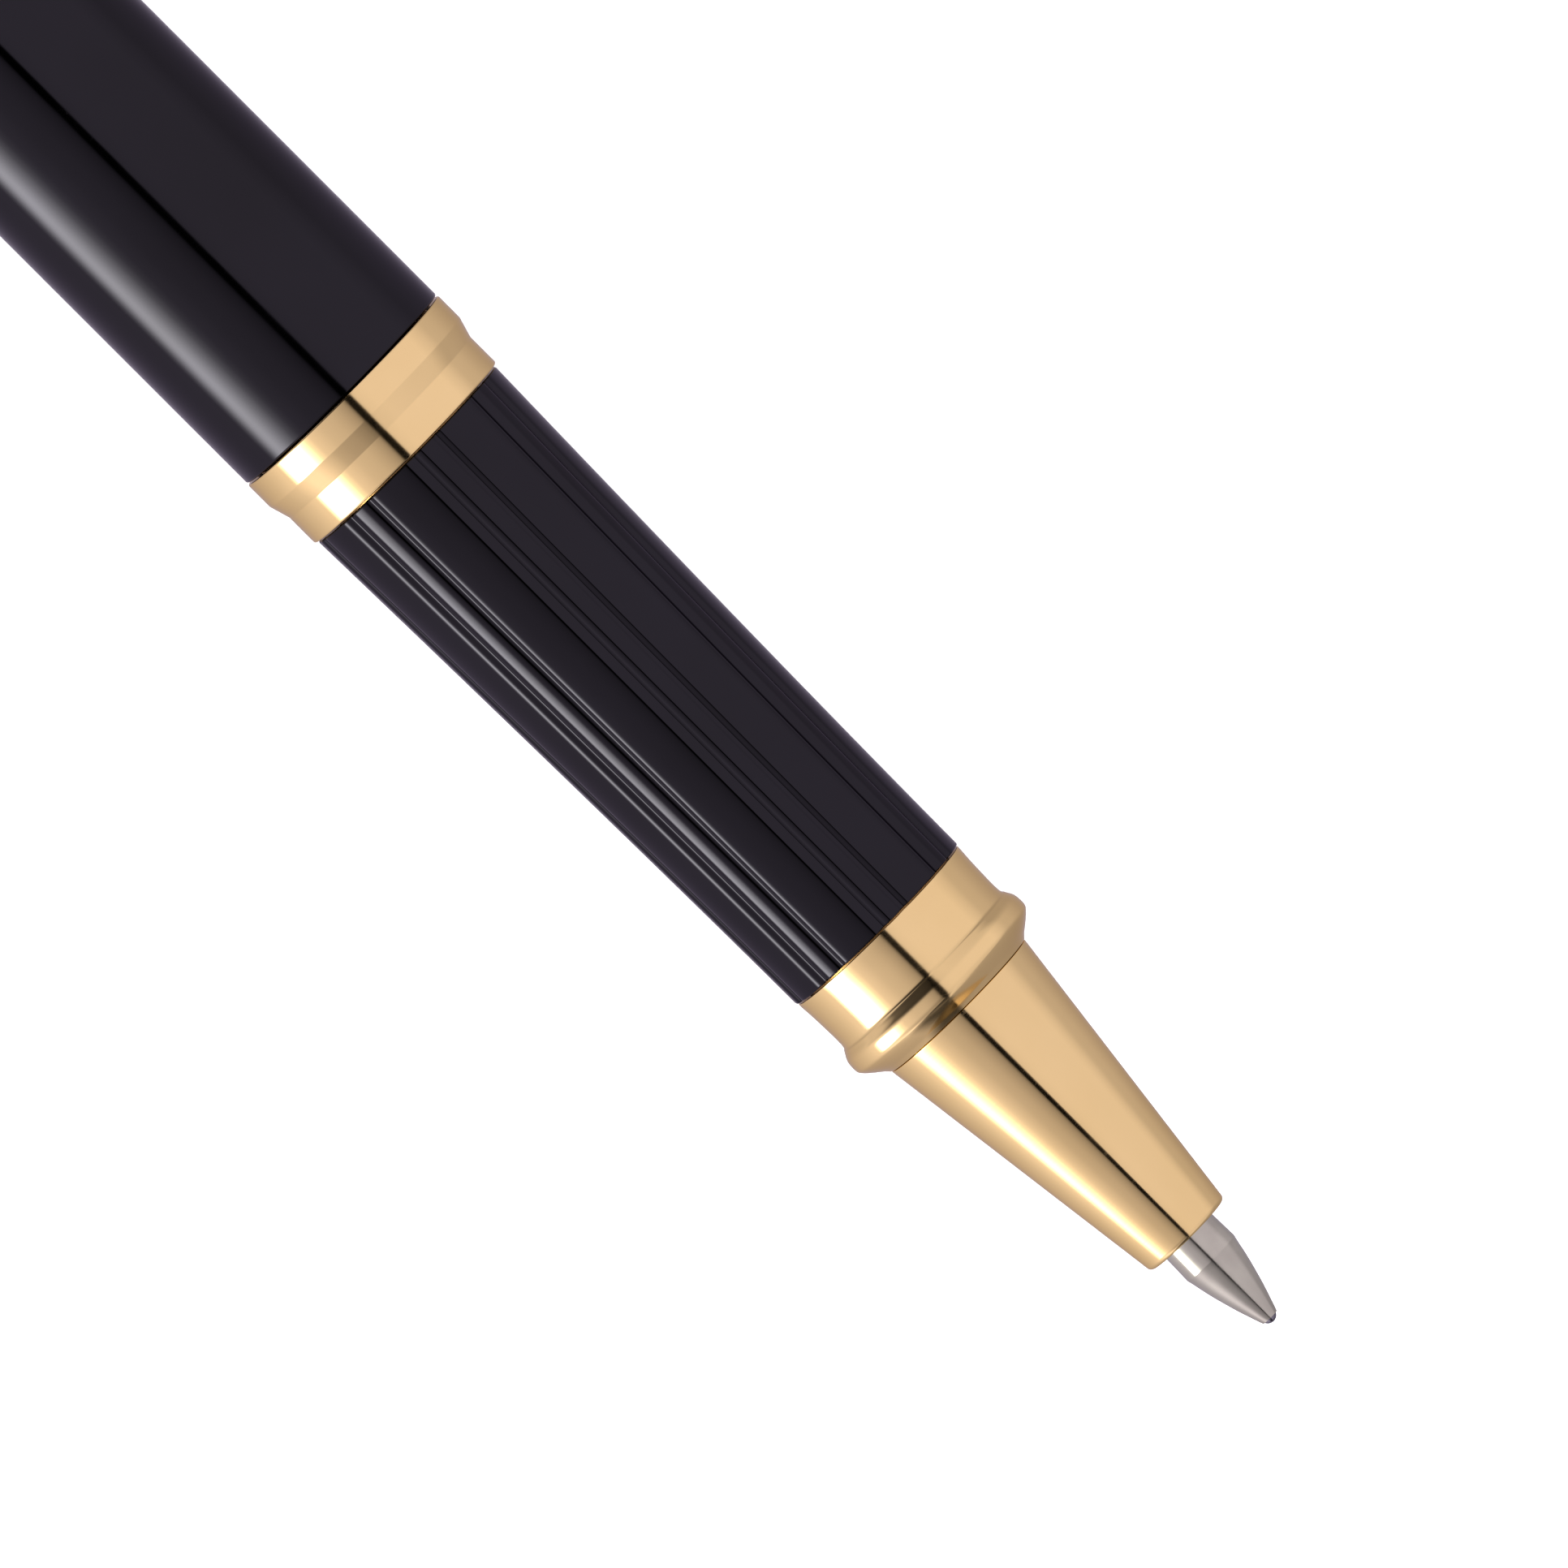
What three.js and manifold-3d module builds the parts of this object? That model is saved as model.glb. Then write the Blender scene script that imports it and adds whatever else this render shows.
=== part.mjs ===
// A capped rollerball pen with its cap pushed on the tail, built from the refill outwards.
// Millimetres. The pen lies along X with its writing tip towards +X and the cap's clip on top (+Z).
// While it is being built, x = 0 is the joint where the barrel meets the section's stepped ring,
// and every radius is about the pen's axis. The whole pen is then moved to its own frame:
// the origin is under the middle of its length, on the surface that it lies on.
import * as THREE from "three";
import { mergeVertices } from "three/addons/utils/BufferGeometryUtils.js";
import Module from "manifold-3d";

const wasm = await Module();
wasm.setup();

// ---- Facets ----
const SIDES = 24; // round a casing
const REFILL_SIDES = 16; // round a refill piece

// ---- Clearances ----
const FIT_GAP = 0.04; // between pieces that are pressed or screwed together
const FACE_GAP = 0.03; // between two faces that meet end to end
const RESERVE = 0.1; // spare depth of a blind socket, and overlap of pieces that are joined
const REFILL_GAP = 0.15; // round the refill in its sleeve

// ---- Edges ----
const EDGE = 0.06; // broken edge of a plated piece
const CHAMFER = 0.3; // lead-in of an inner piece

// ---- Refill ----
const REFILL_LENGTH = 110.6; // from its ball to its rear end, the length that shops sell
const REFILL_RADIUS = 3.05;
const REFILL_WALL = 0.3;
const REFILL_PLUG_HEAD = 3.4;
const REFILL_SPIGOT = 4; // how far the nose and the end plug reach into the tube
const TIP_RADIUS = 1.31; // steel tip, where it leaves the cone
const TIP_STRAIGHT = 1.3; // straight part of the tip in front of the cone
const TIP_TAPER = 3.56; // from the straight part to the end of the ball
const TIP_SHANK = 7.4; // straight part of the tip inside the cone
const TIP_RIM_WALL = 0.05;
const TIP_RIM_REACH = 0.14; // how far the rolled rim reaches past the ball's centre
const BALL_RADIUS = 0.35;
const BALL_GAP = 0.02;
const NOSE_STEP = 0.1; // the refill's nose below its tube
const NOSE_GAP = 0.05; // round the nose where it stops on the cone's rim
const ROD_RADIUS = 0.5; // ink feed rod
const ROD_GAP = 0.1;
const ROD_IN_RESERVOIR = 5;
const ROD_IN_TIP = 1.4; // how far the rod reaches into the tip's taper
const INK_CHANNEL_RADIUS = 0.2; // from the feed rod to the ball
const RESERVOIR_GAP = 0.15;
const RESERVOIR_AIR = 0.5; // at each end of the ink reservoir

// ---- Section: what the fingers hold ----
const CORE_WALL = 0.65; // the threaded tube under the grip
const RING_LENGTH = 3.58;
const RING_REAR_BAND = 1.25;
const RING_SHOULDER = 0.85; // length of the slope between the ring's two bands
const RING_PROUD = 0.03; // the rear band above the barrel
const RING_STEP = 0.25; // rear band down to front band
const GRIP_LENGTH = 26.52;
const GRIP_WALL = 0.64; // at the front
const GRIP_FLARE = 0.43; // how much more radius it has at the rear
const GRIP_CURVE = 1.45; // 1 is a straight taper, more flattens it forwards
const GROOVE_PAIRS = 8;
const GROOVE_WIDTH = 0.4;
const GROOVE_DEPTH = 0.17;
const RIB_ANGLE = THREE.MathUtils.degToRad(14.4); // between the two grooves of a pair
const GRIP_TURN = THREE.MathUtils.degToRad(81.3); // where a pair stands, from +Y towards +Z
const LAND_STEPS = 3; // facets on the wide face between two pairs
const GRIP_STEPS = 5; // facets along the grip's curve
const COLLAR_LENGTH = 4.55;
const COLLAR_WALL = 0.495; // at its neck
const COLLAR_COVE = 0.075; // depth of the hollow behind the bead
const COVE_RISE = 1.1; // length over which the hollow's rear edge falls
const BEAD_HEIGHT = 0.335; // above the neck
const BEAD_REAR = 0.7; // from the neck to the bead's top
const BEAD_TOP = 0.65; // length of its top
const BEAD_FRONT = 0.8; // steep slope from its top to the cone
const COLLAR_LIP = 0.42; // the inward lip that the cone's base presses on
const CONE_LENGTH = 12.95;
const CONE_WALL = 0.435; // at the rim
const SPIGOT_STEP = 0.225; // the spigot below the cone's base
const CONE_INSET = 0.125; // the cone's base below the core tube
const CONE_RIM_WALL = 0.625; // round the hole that the tip comes out of
const CONE_EDGE = 0.25; // radius of the rim's outer edge
const CONE_RIM_LENGTH = 1;
const CONE_HOLE_GAP = 0.12;
const CONE_SPIGOT = 3.3;

// ---- Screw joint of section and barrel ----
const PITCH = 0.8;
const SCREW_TURNS = 5; // turns that free the section
const THREAD_DEPTH = 0.4;
const THREAD_GAP = 0.1;
const THREAD_RUN_OUT = 0.35; // turns over which each end of the thread fades
const THREAD_SETBACK = 0.7; // the core's thread behind the bush's mouth
const THREAD_FLANK_GAP = 0.08;
const CREST_HALF = 0.08; // half the width of the thread's top
const ROOT_HALF = 0.3; // half the width of the thread's foot
const FLANGE_LENGTH = 0.55; // the core's flange behind the ring
const FLANGE_GAP = 0.2;
const BUSH_SETBACK = 0.9; // the bush behind the barrel's mouth
const BUSH_LENGTH = 8;
const BUSH_WALL = 0.41;
const CORE_TAIL = 8; // how far the core reaches into the barrel

// ---- Barrel ----
const BARREL_WALL = 0.5;
const BARREL_STRAIGHT = 22;
const BARREL_TAPER = 0.7; // radius lost from there to the tail
const SPRING_LENGTH = 8;
const SPRING_TURNS = 6;
const SPRING_WIRE = 0.25;
const SPRING_RADIUS = 2.3;
const SPRING_STEPS = 14; // facets in one turn
const SEAT_LENGTH = 2.5;
const SEAT_PIN_LENGTH = 3;
const SEAT_PIN_RADIUS = 1.6;
const SEAT_GAP = 0.5; // between the seat and the tail plug
const TAIL_SPIGOT = 3;
const TAIL_HEAD = 0.9;
const TAIL_ROUND = 1.4; // how far the tail's rounded edge runs in

// ---- Cap ----
const CAP_GAP = 0.095; // the cap's mouth over the ring's front band
const LINER_WALL = 0.33;
const LINER_END = 0.6;
const LINER_STEP = 0.2; // the liner's bore is this much smaller behind its ridge
const CAP_WALL = 0.45;
const LIP_LENGTH = 3.2;
const LIP_PROUD = 0.1;
const LIP_ROUND = 0.35; // radius of the lip's outer edge
const LIP_SLEEVE = 6; // the lip ring's sleeve inside the tube
const RIDGE_LENGTH = 2.4;
const RIDGE_GAP = 0.06; // round the barrel's tail
const POST_DEPTH = 1.6; // the tail goes this far past the ridge
const TIP_AIR = 0.8; // in front of the ball when the cap is on the section
const CAP_PLUG_LENGTH = 2.7;
const CAP_PLUG_AIR = 0.3; // between the liner's end and the plug
const CLIP_RING_LENGTH = 0.9;
const CLIP_RING_PROUD = 0.05;
const CROWN_LENGTH = 3.9;
const CROWN_INSET = 0.1;
const CROWN_EDGE = 1.5; // how far the crown's rounded edge runs in
const DISC_RADIUS = 3.4;
const DISC_DEPTH = 0.6;
const DISC_PROUD = 0.12;
const STUD_RADIUS = 1.5;
const STUD_GRIP = 2.2; // the stud's length inside the crown

// ---- Clip ----
const CLIP_LENGTH = 41;
const CLIP_ROOT_WIDTH = 3.6;
const CLIP_TIP_WIDTH = 2.3;
const CLIP_THICKNESS = 0.85;
const CLIP_STAND_OFF = 1.3; // the arm's underside above the cap
const CLIP_GAP = 0.08; // under its root and its foot
const CLIP_FOOT_RADIUS = 1.15;
const CLIP_BEND = 0.9; // outer radius of the bend at its root
const CLIP_FILLET = 0.8; // slope under the arm beside its root
const CLIP_PARALLEL = 6; // the arm keeps its root width this far

// ---- Radii, from the refill outwards ----
const coreBore = REFILL_RADIUS + REFILL_GAP;
const coreRadius = coreBore + CORE_WALL;
const sleeveBore = coreRadius + FIT_GAP; // of the ring, grip and collar on the core
const threadCrest = coreRadius + THREAD_DEPTH;
const bushRadius = threadCrest + THREAD_GAP + BUSH_WALL;
const barrelBore = bushRadius + FIT_GAP;
const barrelRadius = barrelBore + BARREL_WALL;
const tailRadius = barrelRadius - BARREL_TAPER;
const ringRearRadius = barrelRadius + RING_PROUD;
const ringFrontRadius = ringRearRadius - RING_STEP;
const gripFrontRadius = sleeveBore + GRIP_WALL;
const collarNeck = sleeveBore + COLLAR_WALL;
const beadRadius = collarNeck + BEAD_HEIGHT;
const coneBase = coreRadius - CONE_INSET;
const tipHole = TIP_RADIUS + CONE_HOLE_GAP;
const coneRim = tipHole + CONE_RIM_WALL;
const coneBore = coneRim - CONE_WALL;
const spigotRadius = coneBase - SPIGOT_STEP;
const spigotSocket = spigotRadius + FIT_GAP;
const refillBore = REFILL_RADIUS - REFILL_WALL;
const refillSpigot = refillBore - FIT_GAP;
const rodBore = ROD_RADIUS + ROD_GAP;
const tipBore = TIP_RADIUS + FIT_GAP;
const capBore = ringFrontRadius + CAP_GAP;
const linerRadius = capBore + LINER_WALL;
const capTubeBore = linerRadius + FIT_GAP;
const capRadius = capTubeBore + CAP_WALL;
const lipRadius = capRadius + LIP_PROUD;
const clipRingRadius = capRadius + CLIP_RING_PROUD;
const crownRadius = capRadius - CROWN_INSET;

// ---- Places along the axis ----
const gripStart = RING_LENGTH;
const collarStart = gripStart + GRIP_LENGTH;
const coneStart = collarStart + COLLAR_LENGTH;
const coneEnd = coneStart + CONE_LENGTH;
const tipTaperStart = coneEnd + TIP_STRAIGHT;
const penFront = tipTaperStart + TIP_TAPER;
const ballCentre = penFront - BALL_RADIUS;
const refillRear = penFront - REFILL_LENGTH;
const springRear = refillRear - SPRING_LENGTH;
const seatRear = springRear - SEAT_LENGTH;
const barrelRear = seatRear - SEAT_GAP - TAIL_SPIGOT;
const tailEnd = barrelRear - TAIL_HEAD;
const shoulderStop = RING_REAR_BAND + RING_SHOULDER / 2; // where the cap's mouth stops when closed
const beadMiddle = coneStart - BEAD_FRONT - BEAD_TOP / 2;
const ridgeDepth = beadMiddle - shoulderStop;
const capMouth = tailEnd + ridgeDepth + POST_DEPTH;
const linerDepth = penFront - shoulderStop + TIP_AIR;
const threadRear = -BUSH_SETBACK - SCREW_TURNS * PITCH + ROOT_HALF;
const threadFront = -BUSH_SETBACK - THREAD_SETBACK;

// The barrel's outside radius at x, straight and then tapering to the tail.
function barrelRadiusAt(x) {
  const along = (-BARREL_STRAIGHT - x) / (-BARREL_STRAIGHT - barrelRear);
  return barrelRadius - BARREL_TAPER * THREE.MathUtils.clamp(along, 0, 1);
}

// The place in the cap at a depth behind its mouth.
const inCap = (depth) => capMouth - depth;

// ---- Building blocks ----

// A turned piece: [x, radius] pairs along its outside towards +X and back along its bore.
function turned(outline, sides = SIDES) {
  const points = outline.map(([x, radius]) => new THREE.Vector2(radius, x));
  const body = new THREE.LatheGeometry(points, sides, Math.PI / sides);
  return body.rotateZ(-Math.PI / 2);
}

// A plain tube between two places.
function tube(rear, front, radius, bore, sides = SIDES) {
  const outline = [
    [rear, bore],
    [rear, radius],
    [front, radius],
    [front, bore],
    [rear, bore],
  ];
  return turned(outline, sides);
}

// Points on an arc in the (x, radius) half plane, from one angle to another in degrees.
function arc(x, radius, bend, from, to, steps) {
  return Array.from({ length: steps + 1 }, (_, i) => {
    const angle = THREE.MathUtils.degToRad(from + ((to - from) * i) / steps);
    return [x + bend * Math.cos(angle), radius + bend * Math.sin(angle)];
  });
}

// A geometry as a solid that can be joined and cut.
function solidOf(geometry) {
  const bare = geometry.clone().deleteAttribute("normal").deleteAttribute("uv");
  const merged = mergeVertices(bare, 1e-4);
  return new wasm.Manifold(
    new wasm.Mesh({
      numProp: 3,
      vertProperties: merged.attributes.position.array,
      triVerts: new Uint32Array(merged.index.array),
    }),
  );
}

// A joined or cut solid as a geometry again.
function geometryOf(solid) {
  const { vertProperties, triVerts } = solid.getMesh();
  const geometry = new THREE.BufferGeometry();
  geometry.setAttribute("position", new THREE.BufferAttribute(vertProperties, 3));
  geometry.setIndex(new THREE.BufferAttribute(triVerts, 1));
  geometry.computeVertexNormals();
  return geometry;
}

// A right-hand screw ridge about X: a bar bent round the axis, with ends that fade into its foot.
function screwRidge({ rear, turns, foot, crest, footHalf, crestHalf, fade }) {
  const steps = Math.round(turns * SIDES);
  const bar = new THREE.BoxGeometry(1, 1, 1, steps, 1, 1).translate(0.5, 0, 0.5);
  const position = bar.attributes.position;
  for (let i = 0; i < position.count; i++) {
    const turn = position.getX(i) * turns;
    const height = position.getZ(i);
    const toEnd = Math.min(turn, turns - turn);
    const full = fade ? THREE.MathUtils.clamp(0.2 + (0.8 * toEnd) / fade, 0, 1) : 1;
    const radius = foot + (crest - foot) * height * full;
    const half = THREE.MathUtils.lerp(footHalf, crestHalf, height);
    const x = rear + turn * PITCH + position.getY(i) * 2 * half;
    const angle = turn * 2 * Math.PI;
    position.setXYZ(i, x, radius * Math.cos(angle), radius * Math.sin(angle));
  }
  return bar;
}

const metal = (color, roughness) => ({ color, roughness, metalness: 1 });
const GOLD = metal(0xe3b67a, 0.18);
const STEEL = metal(0xb7aca6, 0.25);
const BRASS = metal(0xc9a35c, 0.35);
const LACQUER = { color: 0x121014, roughness: 0.12, metalness: 0 };
const BLACK_PLASTIC = { color: 0x1b1b1d, roughness: 0.5, metalness: 0 };
const CLEAR_PLASTIC = { color: 0xdfe0dc, roughness: 0.35, metalness: 0 };
const INK_FIBRE = { color: 0x2a3a66, roughness: 0.95, metalness: 0 };

const pen = new THREE.Group();

function add(name, look, geometry) {
  const mesh = new THREE.Mesh(geometry, new THREE.MeshStandardMaterial(look));
  mesh.name = name;
  pen.add(mesh);
}

// ---- Section ----

// The stepped ring that the cap's mouth stops on: two bands and a hollow slope between them.
function jointRing() {
  const rear = FACE_GAP;
  const front = RING_LENGTH - FACE_GAP;
  const slopeStart = RING_REAR_BAND;
  const slopeEnd = slopeStart + RING_SHOULDER;
  return turned([
    [rear, sleeveBore],
    [rear, ringRearRadius - EDGE],
    [rear + EDGE, ringRearRadius],
    [slopeStart, ringRearRadius],
    [slopeStart + RING_SHOULDER / 2, ringRearRadius - RING_STEP * 0.6],
    [slopeEnd, ringFrontRadius],
    [front - EDGE, ringFrontRadius],
    [front, ringFrontRadius - EDGE],
    [front, sleeveBore],
    [rear, sleeveBore],
  ]);
}

// The threaded tube that carries the section's pieces and screws into the barrel.
function sectionCore() {
  const socketRear = coneStart - CONE_SPIGOT - RESERVE;
  const front = coneStart - COLLAR_LIP - RESERVE;
  const flangeRadius = barrelBore - FLANGE_GAP;
  const body = solidOf(
    turned([
      [-CORE_TAIL, coreBore],
      [-CORE_TAIL, coreRadius - CHAMFER],
      [-CORE_TAIL + CHAMFER, coreRadius],
      [-FLANGE_LENGTH, coreRadius],
      [-FLANGE_LENGTH, flangeRadius],
      [0, flangeRadius],
      [0, coreRadius],
      [front, coreRadius],
      [front, spigotSocket],
      [socketRear, spigotSocket],
      [socketRear, coreBore],
      [-CORE_TAIL, coreBore],
    ]),
  );
  const ridge = screwRidge({
    rear: threadRear,
    turns: (threadFront - threadRear) / PITCH,
    foot: coreRadius - RESERVE,
    crest: threadCrest,
    footHalf: ROOT_HALF,
    crestHalf: CREST_HALF,
    fade: THREAD_RUN_OUT,
  });
  return geometryOf(body.add(solidOf(ridge)));
}

// The grip's outside radius as a share of its rear radius, along a curve that flattens forwards.
function gripShare(along) {
  const rear = gripFrontRadius + GRIP_FLARE;
  const flare = GRIP_FLARE * Math.max(1 - along, 0) ** GRIP_CURVE;
  return (gripFrontRadius + flare) / rear;
}

// The lacquered grip: a sleeve with pairs of fine grooves along its whole length.
function sectionGrip() {
  const rearRadius = gripFrontRadius + GRIP_FLARE;
  const outline = new THREE.Shape();
  const period = (2 * Math.PI) / GROOVE_PAIRS;
  const halfGroove = GROOVE_WIDTH / 2 / rearRadius;
  const points = [];
  const at = (angle, radius) => {
    points.push(new THREE.Vector2(radius * Math.cos(angle), radius * Math.sin(angle)));
  };
  const groove = (angle) => {
    at(angle - halfGroove, rearRadius);
    at(angle, rearRadius - GROOVE_DEPTH);
    at(angle + halfGroove, rearRadius);
  };
  for (let pair = 0; pair < GROOVE_PAIRS; pair++) {
    const middle = GRIP_TURN + pair * period;
    groove(middle - RIB_ANGLE / 2);
    at(middle, rearRadius);
    groove(middle + RIB_ANGLE / 2);
    const landStart = middle + RIB_ANGLE / 2 + halfGroove;
    const land = period - RIB_ANGLE - 2 * halfGroove;
    for (let i = 1; i < LAND_STEPS; i++) at(landStart + (land * i) / LAND_STEPS, rearRadius);
  }
  outline.setFromPoints(points);
  const holePoints = [];
  for (let i = 0; i < SIDES; i++) {
    const angle = (-(i + 0.5) * 2 * Math.PI) / SIDES;
    holePoints.push(new THREE.Vector2(sleeveBore * Math.cos(angle), sleeveBore * Math.sin(angle)));
  }
  outline.holes.push(new THREE.Path().setFromPoints(holePoints));
  const length = GRIP_LENGTH - 2 * FACE_GAP;
  const options = { depth: length, steps: GRIP_STEPS, bevelEnabled: false };
  const sleeve = new THREE.ExtrudeGeometry(outline, options);
  const position = sleeve.attributes.position;
  const betweenWalls = (sleeveBore + rearRadius - GROOVE_DEPTH) / 2;
  for (let i = 0; i < position.count; i++) {
    const radius = Math.hypot(position.getX(i), position.getY(i));
    const share = radius > betweenWalls ? gripShare(position.getZ(i) / length) : 1;
    position.setXY(i, position.getX(i) * share, position.getY(i) * share);
  }
  const along = new THREE.Matrix4().makeBasis(
    new THREE.Vector3(0, 1, 0),
    new THREE.Vector3(0, 0, 1),
    new THREE.Vector3(1, 0, 0),
  );
  return sleeve.applyMatrix4(along).translate(gripStart + FACE_GAP, 0, 0);
}

// The plated collar: a shallow hollow, then the bead that clicks into the cap's liner.
function noseCollar() {
  const rear = collarStart + FACE_GAP;
  const front = coneStart - FACE_GAP;
  const topFront = coneStart - BEAD_FRONT;
  const topRear = topFront - BEAD_TOP;
  const lip = coneStart - COLLAR_LIP;
  const fall = beadRadius - coneBase;
  return turned([
    [rear, sleeveBore],
    [rear, collarNeck + COLLAR_COVE - EDGE],
    [rear + EDGE, collarNeck + COLLAR_COVE],
    [rear + COVE_RISE, collarNeck + COLLAR_COVE / 4],
    [topRear - BEAD_REAR, collarNeck],
    [topRear - BEAD_REAR / 2, collarNeck + BEAD_HEIGHT * 0.5],
    [topRear - EDGE, beadRadius - EDGE],
    [topRear + BEAD_TOP / 2, beadRadius],
    [topFront, beadRadius - EDGE],
    [topFront + BEAD_FRONT * 0.35, beadRadius - fall * 0.3],
    [topFront + BEAD_FRONT * 0.7, coneBase + fall * 0.25],
    [front, coneBase],
    [front, spigotSocket],
    [lip, spigotSocket],
    [lip, sleeveBore],
    [rear, sleeveBore],
  ]);
}

// The plated cone in front, screwed into the core by its spigot. The refill stops on its rim.
function noseCone() {
  const spigotRear = coneStart - CONE_SPIGOT;
  const rimStart = coneEnd - CONE_RIM_LENGTH;
  return turned([
    [spigotRear, coreBore],
    [spigotRear, spigotRadius],
    [coneStart, spigotRadius],
    [coneStart, coneBase],
    ...arc(coneEnd - CONE_EDGE, coneRim - CONE_EDGE, CONE_EDGE, 82, 0, 3),
    [coneEnd, tipHole],
    [rimStart, tipHole],
    [rimStart, coneBore],
    [coneStart, coreBore],
    [spigotRear, coreBore],
  ]);
}

// ---- Refill ----

const tipRear = coneEnd - TIP_SHANK;
const noseRear = coneStart - COLLAR_LIP;
const rodFront = tipTaperStart + ROD_IN_TIP;
const tipRimEnd = ballCentre + TIP_RIM_REACH;
const tipRimBore = Math.sqrt(BALL_RADIUS ** 2 - TIP_RIM_REACH ** 2) + BALL_GAP;

// The steel tip: a shank, a taper and a rolled rim that holds the ball.
function refillTip() {
  const socket = BALL_RADIUS + BALL_GAP;
  const outline = [
    [tipRear, rodBore],
    [tipRear, TIP_RADIUS],
    [tipTaperStart, TIP_RADIUS],
    [tipTaperStart + TIP_TAPER * 0.3, TIP_RADIUS * 0.82],
    [tipTaperStart + TIP_TAPER * 0.6, TIP_RADIUS * 0.605],
    [tipTaperStart + TIP_TAPER * 0.86, TIP_RADIUS * 0.385],
    [tipRimEnd, tipRimBore + TIP_RIM_WALL],
    [tipRimEnd, tipRimBore],
    [ballCentre + EDGE, socket],
    [ballCentre - BALL_RADIUS / 2, socket],
    [ballCentre - BALL_RADIUS, INK_CHANNEL_RADIUS],
    [rodFront + RESERVE, INK_CHANNEL_RADIUS],
    [rodFront + RESERVE, rodBore],
    [tipRear, rodBore],
  ];
  return turned(outline, REFILL_SIDES);
}

function refillBall() {
  return new THREE.SphereGeometry(BALL_RADIUS, 12, 8).translate(ballCentre, 0, 0);
}

// The plastic nose that joins the tip to the tube and stops on the cone's rim.
function refillNose() {
  const front = coneEnd - CONE_RIM_LENGTH - RESERVE;
  const shoulder = REFILL_RADIUS - NOSE_STEP;
  const outline = [
    [noseRear - REFILL_SPIGOT, rodBore],
    [noseRear - REFILL_SPIGOT, refillSpigot],
    [noseRear, refillSpigot],
    [noseRear, shoulder],
    [coneStart, shoulder],
    [front, coneBore - NOSE_GAP],
    [front, tipBore],
    [tipRear - RESERVE, tipBore],
    [tipRear - RESERVE, rodBore],
    [noseRear - REFILL_SPIGOT, rodBore],
  ];
  return turned(outline, REFILL_SIDES);
}

function refillTube() {
  const rear = refillRear + REFILL_PLUG_HEAD;
  return tube(rear, noseRear - FACE_GAP, REFILL_RADIUS, refillBore, REFILL_SIDES);
}

const reservoirFront = noseRear - REFILL_SPIGOT - RESERVOIR_AIR;
const rodRear = reservoirFront - ROD_IN_RESERVOIR;

// The fibre stick that holds the ink, with a hole for the feed rod.
function inkReservoir() {
  const rear = refillRear + REFILL_PLUG_HEAD + REFILL_SPIGOT + RESERVOIR_AIR;
  const socketEnd = rodRear - RESERVE;
  const radius = refillBore - RESERVOIR_GAP;
  const outline = [
    [rear, 0],
    [rear, radius],
    [reservoirFront, radius],
    [reservoirFront, rodBore],
    [socketEnd, rodBore],
    [socketEnd, 0],
  ];
  return turned(outline, REFILL_SIDES);
}

function feedRod() {
  const outline = [
    [rodRear, 0],
    [rodRear, ROD_RADIUS],
    [rodFront, ROD_RADIUS],
    [rodFront, 0],
  ];
  return turned(outline, REFILL_SIDES);
}

// The plug behind the ink, with a breather hole and a neck that centres the spring.
function refillEndPlug() {
  const head = refillRear + REFILL_PLUG_HEAD - FACE_GAP;
  const outline = [
    [refillRear, ROD_RADIUS],
    [refillRear, REFILL_RADIUS - CHAMFER],
    [refillRear + CHAMFER, REFILL_RADIUS],
    [head, REFILL_RADIUS],
    [head, refillSpigot],
    [head + REFILL_SPIGOT, refillSpigot],
    [head + REFILL_SPIGOT, ROD_RADIUS],
    [refillRear, ROD_RADIUS],
  ];
  return turned(outline, REFILL_SIDES);
}

// ---- Barrel ----

function barrelTube() {
  return turned([
    [barrelRear, tailRadius - BARREL_WALL],
    [barrelRear, tailRadius],
    [-BARREL_STRAIGHT, barrelRadius],
    [-FACE_GAP - EDGE, barrelRadius],
    [-FACE_GAP, barrelRadius - EDGE],
    [-FACE_GAP, barrelBore],
    [-BARREL_STRAIGHT, barrelBore],
    [barrelRear, tailRadius - BARREL_WALL],
  ]);
}

// The brass bush pressed into the barrel, with the thread that the core screws into.
function barrelThreadBush() {
  const front = -BUSH_SETBACK;
  const rear = front - BUSH_LENGTH;
  const bore = coreRadius + THREAD_GAP;
  const cutRear = threadRear - PITCH;
  const cutter = screwRidge({
    rear: cutRear,
    turns: (front + PITCH - cutRear) / PITCH,
    foot: coreRadius,
    crest: threadCrest + THREAD_GAP,
    footHalf: ROOT_HALF + THREAD_FLANK_GAP,
    crestHalf: CREST_HALF + THREAD_FLANK_GAP,
  });
  return geometryOf(solidOf(tube(rear, front, bushRadius, bore)).subtract(solidOf(cutter)));
}

class Coil extends THREE.Curve {
  constructor(rear, length, turns, radius) {
    super();
    Object.assign(this, { rear, length, turns, radius });
  }
  getPoint(along, target = new THREE.Vector3()) {
    const angle = along * this.turns * 2 * Math.PI;
    const x = this.rear + along * this.length;
    return target.set(x, this.radius * Math.cos(angle), this.radius * Math.sin(angle));
  }
}

// The spring that presses the refill forwards.
function refillSpring() {
  const wire = new THREE.Shape().absarc(0, 0, SPRING_WIRE, 0, 2 * Math.PI);
  const ends = SPRING_WIRE + RESERVE;
  const path = new Coil(springRear + ends, SPRING_LENGTH - 2 * ends, SPRING_TURNS, SPRING_RADIUS);
  const steps = SPRING_TURNS * SPRING_STEPS;
  return new THREE.ExtrudeGeometry(wire, { steps, curveSegments: 3, extrudePath: path });
}

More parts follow.
